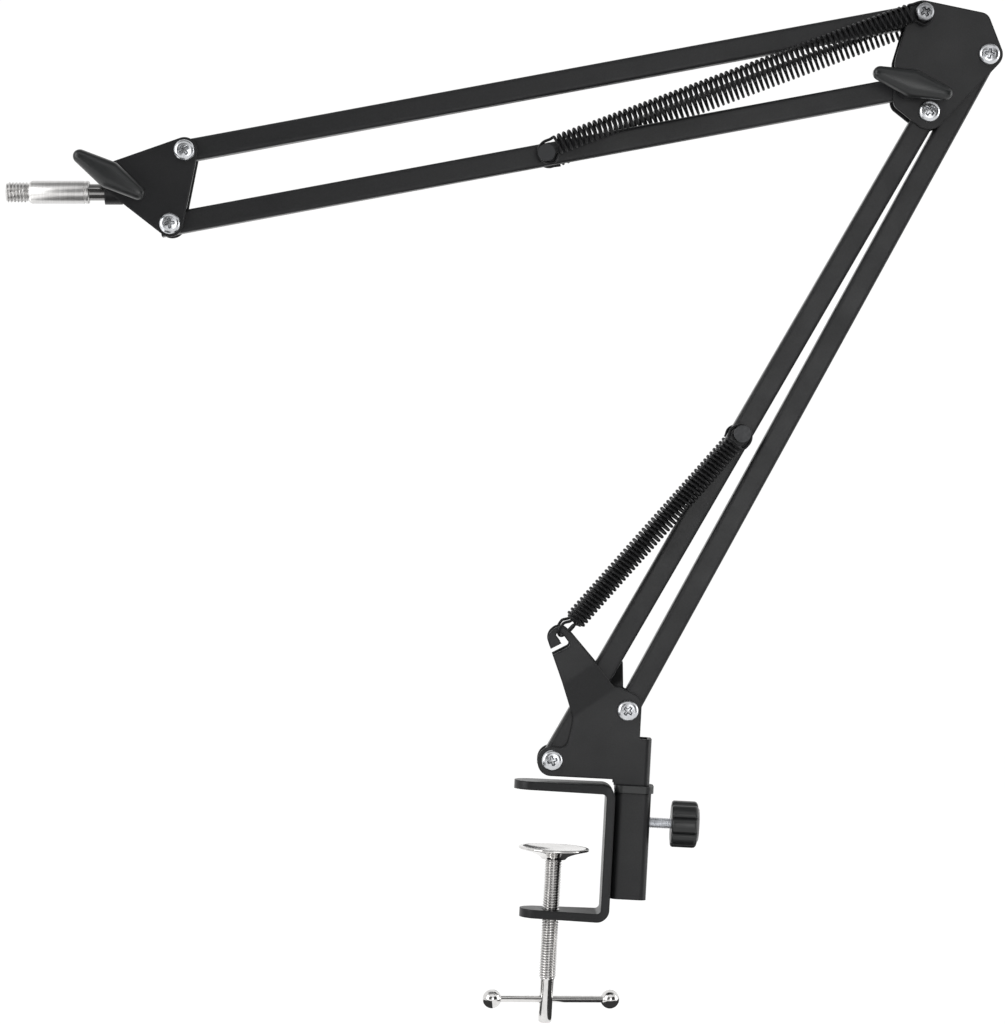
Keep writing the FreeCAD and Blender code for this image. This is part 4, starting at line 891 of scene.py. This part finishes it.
class BOOM_OT_knobs(bpy.types.Operator):
    """Mould the two wing knobs and the lobed lock knob"""

    bl_idname = "boom.knobs"
    bl_label = "Knobs"

    def execute(self, context):
        knobs = context.scene.boom_knobs
        lift = knobs.wing_lift
        radius = knobs.stem_radius
        edge = 0.3 * MM
        flare = 0.6 * MM
        flare_run = 0.8 * MM
        root = 2.0 * MM
        stem = [
            (0.0, radius - edge), (edge, radius), (lift - flare_run, radius), (lift, radius + flare),
            (lift + root, radius + flare)]
        for group, turn in (("elbow", knobs.elbow_turn), ("head", knobs.head_turn)):
            node = f"{group}_knob"
            low, high, _ = box_of(node)
            place = joint_place(f"{group}_knob_turn")
            wing = wing_surface(knobs, place, turn, low[1], high[1] - lift)
            foot = np.array([place[0], high[1], place[2]])
            surfaces = [wing, turned(stem, foot, -Y_AXIS, sides=48)]
            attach(dress(f"moulded_{node}", surfaces, node), BODY_OF[node])
        low, high, middle = box_of("lock_knob")
        screw_low, screw_high, _ = box_of("lock_screw")
        start = np.array([low[0], middle[1], middle[2]])
        surface = lobed_surface(
            knobs, start, X_AXIS, high[0] - low[0], (high[2] - low[2]) / 2,
            (screw_high[2] - screw_low[2]) / 2, screw_high[0] - low[0])
        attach(dress("lobed_lock_knob", [surface], "lock_knob"), BODY_OF["lock_knob"])
        return {"FINISHED"}


class BOOM_OT_sleeve(bpy.types.Operator):
    """Turn the rod's sleeve with its microphone thread"""

    bl_idname = "boom.sleeve"
    bl_label = "Thread sleeve"

    def execute(self, context):
        threads = context.scene.boom_threads
        low, high, _ = box_of("thread_sleeve")
        rod_low, rod_high, _ = box_of("mic_rod")
        axis = joint_axis("mic_rod_turn")
        axis = axis if axis[0] < 0 else -axis
        radius = (high[1] - low[1]) / 2
        hole = (rod_high[1] - rod_low[1]) / 2
        tilt = abs(axis[2])
        bevel = 0.8 * MM
        full = (high[0] - low[0] - tilt * (radius + threads.stud_radius - bevel)) / abs(axis[0])
        middle_x = high[0] - radius * tilt
        place = joint_place("mic_rod_turn")
        start = place + axis * (middle_x - place[0]) / axis[0]
        body = full - threads.stud_length
        depth = threads.depth_share * threads.stud_pitch
        stud = threads.stud_radius
        edge = 0.4 * MM
        lip = 0.3 * MM
        chamfer = 1.2 * MM
        neck = 0.7 * MM
        groove = radius - 0.28 * MM
        ring = np.array([1.5, 1.7, 2.2, 2.4]) * MM
        stations = [
            (threads.rod_bore, 0.0), (threads.rod_bore, hole), (lip, hole), (0.0, hole + lip),
            (0.0, radius - edge), (edge, radius), (ring[0], radius), (ring[1], groove), (ring[2], groove),
            (ring[3], radius), (body - chamfer, radius), (body, radius - bevel), (body, stud - depth),
            (body + neck, stud - depth), (body + chamfer, stud, depth), (full - bevel, stud, depth),
            (full, stud - bevel), (full, 0.0)]
        surface = turned(stations, start, axis, sides=72, pitch=threads.stud_pitch)
        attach(dress("turned_sleeve", [surface], "thread_sleeve", "turned_nickel"), BODY_OF["thread_sleeve"])
        return {"FINISHED"}


class BOOM_OT_stage(bpy.types.Operator):
    """Set the floor, the cards, the soft lights and the camera"""

    bl_idname = "boom.stage"
    bl_label = "Stage"

    def execute(self, context):
        scene = context.scene
        self.backdrop()
        self.cards()
        self.world(scene)
        self.lamps()
        self.camera(scene)
        scene.view_settings.view_transform = "Standard"
        return {"FINISHED"}

    def backdrop(self):
        """Floor that rises into a wall behind: y runs back, then z follows a quarter circle.

        It lies low enough for the clamp screw to come all the way down above it.
        """
        screw_room = 0.0235
        low = CAD_BOX[0][2] - screw_room
        bend = 1.0
        back = 2.0
        front = -6.0
        top = 6.0
        half = 8.0
        turn = np.linspace(0, np.pi / 2, 24)
        depth = np.concatenate([[front, -1.0, 0.0], back + bend * np.sin(turn), [back + bend]])
        height = np.concatenate([[0.0, 0.0, 0.0], bend - bend * np.cos(turn), [top]]) + low
        x, y = np.meshgrid((-half, half), depth)
        points = np.stack([x, y, np.broadcast_to(height[:, None], x.shape)], -1).reshape(-1, 3)
        faces = np.arange(len(depth) - 1)[:, None] * 2 + np.array([0, 1, 3, 2])
        material, tree, surface = glow_tree("white_paper")
        paper = make(tree, "ShaderNodeBsdfDiffuse", Color=(0.86, 0.86, 0.86, 1))
        glow = make(tree, "ShaderNodeEmission", Color=(0.94, 0.94, 0.94, 1))
        shadow = make(tree, "ShaderNodeBsdfDiffuse", Color=(0.16, 0.16, 0.16, 1))
        white = make(tree, "ShaderNodeAddShader")
        mix = make(tree, "ShaderNodeMixShader")
        tree.links.new(self.seen(tree, 0.0, 1.0), mix.inputs["Fac"])
        tree.links.new(glow.outputs["Emission"], white.inputs[0])
        tree.links.new(shadow.outputs["BSDF"], white.inputs[1])
        tree.links.new(paper.outputs["BSDF"], mix.inputs[1])
        tree.links.new(white.outputs["Shader"], mix.inputs[2])
        tree.links.new(mix.outputs["Shader"], surface)
        paper_object = self.sheet("backdrop", points, faces, material)
        paper_object.data.polygons.foreach_set("use_smooth", np.ones(len(faces), bool))

    def sheet(self, name, points, faces, material):
        """Object of the stage from arrays of points and of faces."""
        mesh = bpy.data.meshes.new(name)
        mesh.from_pydata(points.tolist(), [], faces.tolist())
        mesh.materials.append(material)
        return hold(name, mesh)

    def facing(self, place, target):
        """Matrix that stands a card or a lamp at a place and turns it to a target."""
        turn = (Vector(target) - Vector(place)).to_track_quat("-Z", "Y")
        return Matrix.Translation(place) @ turn.to_matrix().to_4x4()

    def cards(self):
        """Cards that only reflections see, so that bright metal and black paint have dark sides.

        They face the arm, apart from those under it, which lie level. The one under the knob is bright.
        """
        middle = (-0.05, 0.0, 0.1)
        corners = np.array([[-0.5, -0.5, 0], [0.5, -0.5, 0], [0.5, 0.5, 0], [-0.5, 0.5, 0]])
        for name, place, size, shade in (
            ("card_front", (-0.9, -2.5, 0.4), (2.0, 2.4), 0.15),
            ("card_right", (1.25, -1.3, 0.1), (1.3, 2.2), 0.04),
            ("card_over", (-0.05, -0.1, 1.6), (2.4, 1.3), 0.3),
            ("card_back", (0.13, 0.9, 0.06), (0.2, 0.3), 0.08),
            ("card_bar_left", (-0.049, -0.012, -0.1095), (0.05, 0.064), 0.05),
            ("card_bar_right", (0.05, 0.01, -0.1095), (0.08, 0.09), 0.05),
            ("card_pad", (0.1, 0.5, -0.1095), (0.21, 0.96), 0.05),
            ("card_rod", (-0.315, -0.2, -0.1095), (0.31, 0.5), 0.12),
            ("card_knob", (-0.565, -0.1, -0.1095), (0.19, 0.7), 2.0),
        ):
            material, tree, surface = glow_tree(name)
            glow = make(tree, "ShaderNodeEmission", Color=(shade, shade, shade, 1))
            tree.links.new(glow.outputs["Emission"], surface)
            card = self.sheet(name, corners * (*size, 0), np.array([[0, 1, 2, 3]]), material)
            card.matrix_world = Matrix.Translation(place) if place[2] < 0 else self.facing(place, middle)
            for ray in ("camera", "diffuse", "shadow", "transmission"):
                setattr(card, f"visible_{ray}", False)

    def seen(self, tree, lit, shown):
        """One number for light on the object, another for rays from the camera, glossy surfaces and glass."""
        path = make(tree, "ShaderNodeLightPath")
        first = make(tree, "ShaderNodeMath", operation="MAXIMUM")
        second = make(tree, "ShaderNodeMath", operation="MAXIMUM")
        scale = make(tree, "ShaderNodeMapRange", **{"To Min": lit, "To Max": shown})
        tree.links.new(path.outputs["Is Camera Ray"], first.inputs[0])
        tree.links.new(path.outputs["Is Glossy Ray"], first.inputs[1])
        tree.links.new(first.outputs["Value"], second.inputs[0])
        tree.links.new(path.outputs["Is Transmission Ray"], second.inputs[1])
        tree.links.new(second.outputs["Value"], scale.inputs["Value"])
        return scale.outputs["Result"]

    def world(self, scene):
        """Room that looks white and lights the object evenly."""
        world = bpy.data.worlds.new("white_room")
        world.use_nodes = True
        shade = world.node_tree.nodes["Background"]
        shade.inputs["Color"].default_value = (1, 1, 1, 1)
        strength = self.seen(world.node_tree, scene.boom_stage.room_light, 1.0)
        world.node_tree.links.new(strength, shade.inputs["Strength"])
        scene.world = world

    def lamps(self):
        """Soft boxes over the front, at the left, in front and at the right, the first without highlights."""
        middle = (-0.05, 0.0, 0.15)
        for name, place, size, power in (
            ("lamp_over", (-0.3, -0.95, 1.3), (1.3, 0.7), 14.0),
            ("lamp_left", (-1.3, -0.9, 0.45), (0.8, 1.2), 9.0),
            ("lamp_front", (0.3, -2.1, 0.05), (0.7, 0.9), 6.0),
            ("lamp_right", (1.4, 0.0, 0.25), (0.5, 1.0), 6.0),
        ):
            lamp = bpy.data.lights.new(name, "AREA")
            lamp.shape = "RECTANGLE"
            lamp.size, lamp.size_y = size
            lamp.energy = power
            holder = hold(name, lamp)
            holder.matrix_world = self.facing(place, middle)
            holder.visible_glossy = name != "lamp_over"

    def camera(self, scene):
        """Camera at the photograph's place, from the yaw, pitch and roll of its axis."""
        stage = scene.boom_stage
        place = Vector(stage.camera_place)
        yaw, pitch, roll = stage.camera_yaw, stage.camera_pitch, stage.camera_roll
        ahead = Vector((math.sin(yaw) * math.cos(pitch), math.cos(yaw) * math.cos(pitch), -math.sin(pitch)))
        level = Vector((math.cos(yaw), -math.sin(yaw), 0))
        above = level.cross(ahead)
        right = level * math.cos(roll) + above * math.sin(roll)
        up = above * math.cos(roll) - level * math.sin(roll)
        data = bpy.data.cameras.new("photo_camera")
        data.sensor_fit = "HORIZONTAL"
        data.sensor_width = 36.0
        data.lens = stage.camera_lens
        data.clip_end = 50.0
        holder = hold("photo_camera", data)
        axes = Matrix((right, up, -ahead)).transposed()
        holder.matrix_world = Matrix.Translation(place) @ axes.to_4x4()
        scene.camera = holder


class BOOM_PT_panel(bpy.types.Panel):
    """Lists the steps of the boom arm"""

    bl_idname = "BOOM_PT_panel"
    bl_label = "Boom arm"
    bl_space_type = "VIEW_3D"
    bl_region_type = "UI"
    bl_category = "Boom arm"

    def draw(self, context):
        for operator in OPERATORS:
            self.layout.operator(operator.bl_idname)


GROUPS = (
    ("boom_springs", BoomSprings),
    ("boom_threads", BoomThreads),
    ("boom_screws", BoomScrews),
    ("boom_knobs", BoomKnobs),
    ("boom_finish", BoomFinish),
    ("boom_stage", BoomStage),
)
OPERATORS = (
    BOOM_OT_finishes, BOOM_OT_springs, BOOM_OT_clamp, BOOM_OT_screws, BOOM_OT_knobs, BOOM_OT_sleeve,
    BOOM_OT_stage)
CLASSES = tuple(group for _, group in GROUPS) + OPERATORS + (BOOM_PT_panel,)


def register():
    """Register the classes and hang the settings on the scene."""
    for cls in CLASSES:
        bpy.utils.register_class(cls)
    for name, group in GROUPS:
        setattr(bpy.types.Scene, name, bpy.props.PointerProperty(type=group))


def unregister():
    """Take the settings and the classes away again."""
    for name, _ in GROUPS:
        delattr(bpy.types.Scene, name)
    for cls in reversed(CLASSES):
        bpy.utils.unregister_class(cls)


def main():
    """Build every piece."""
    register()
    bpy.ops.boom.finishes()
    bpy.ops.boom.springs()
    bpy.ops.boom.clamp()
    bpy.ops.boom.screws()
    bpy.ops.boom.knobs()
    bpy.ops.boom.sleeve()
    bpy.ops.boom.stage()


if __name__ == "__main__":
    main()
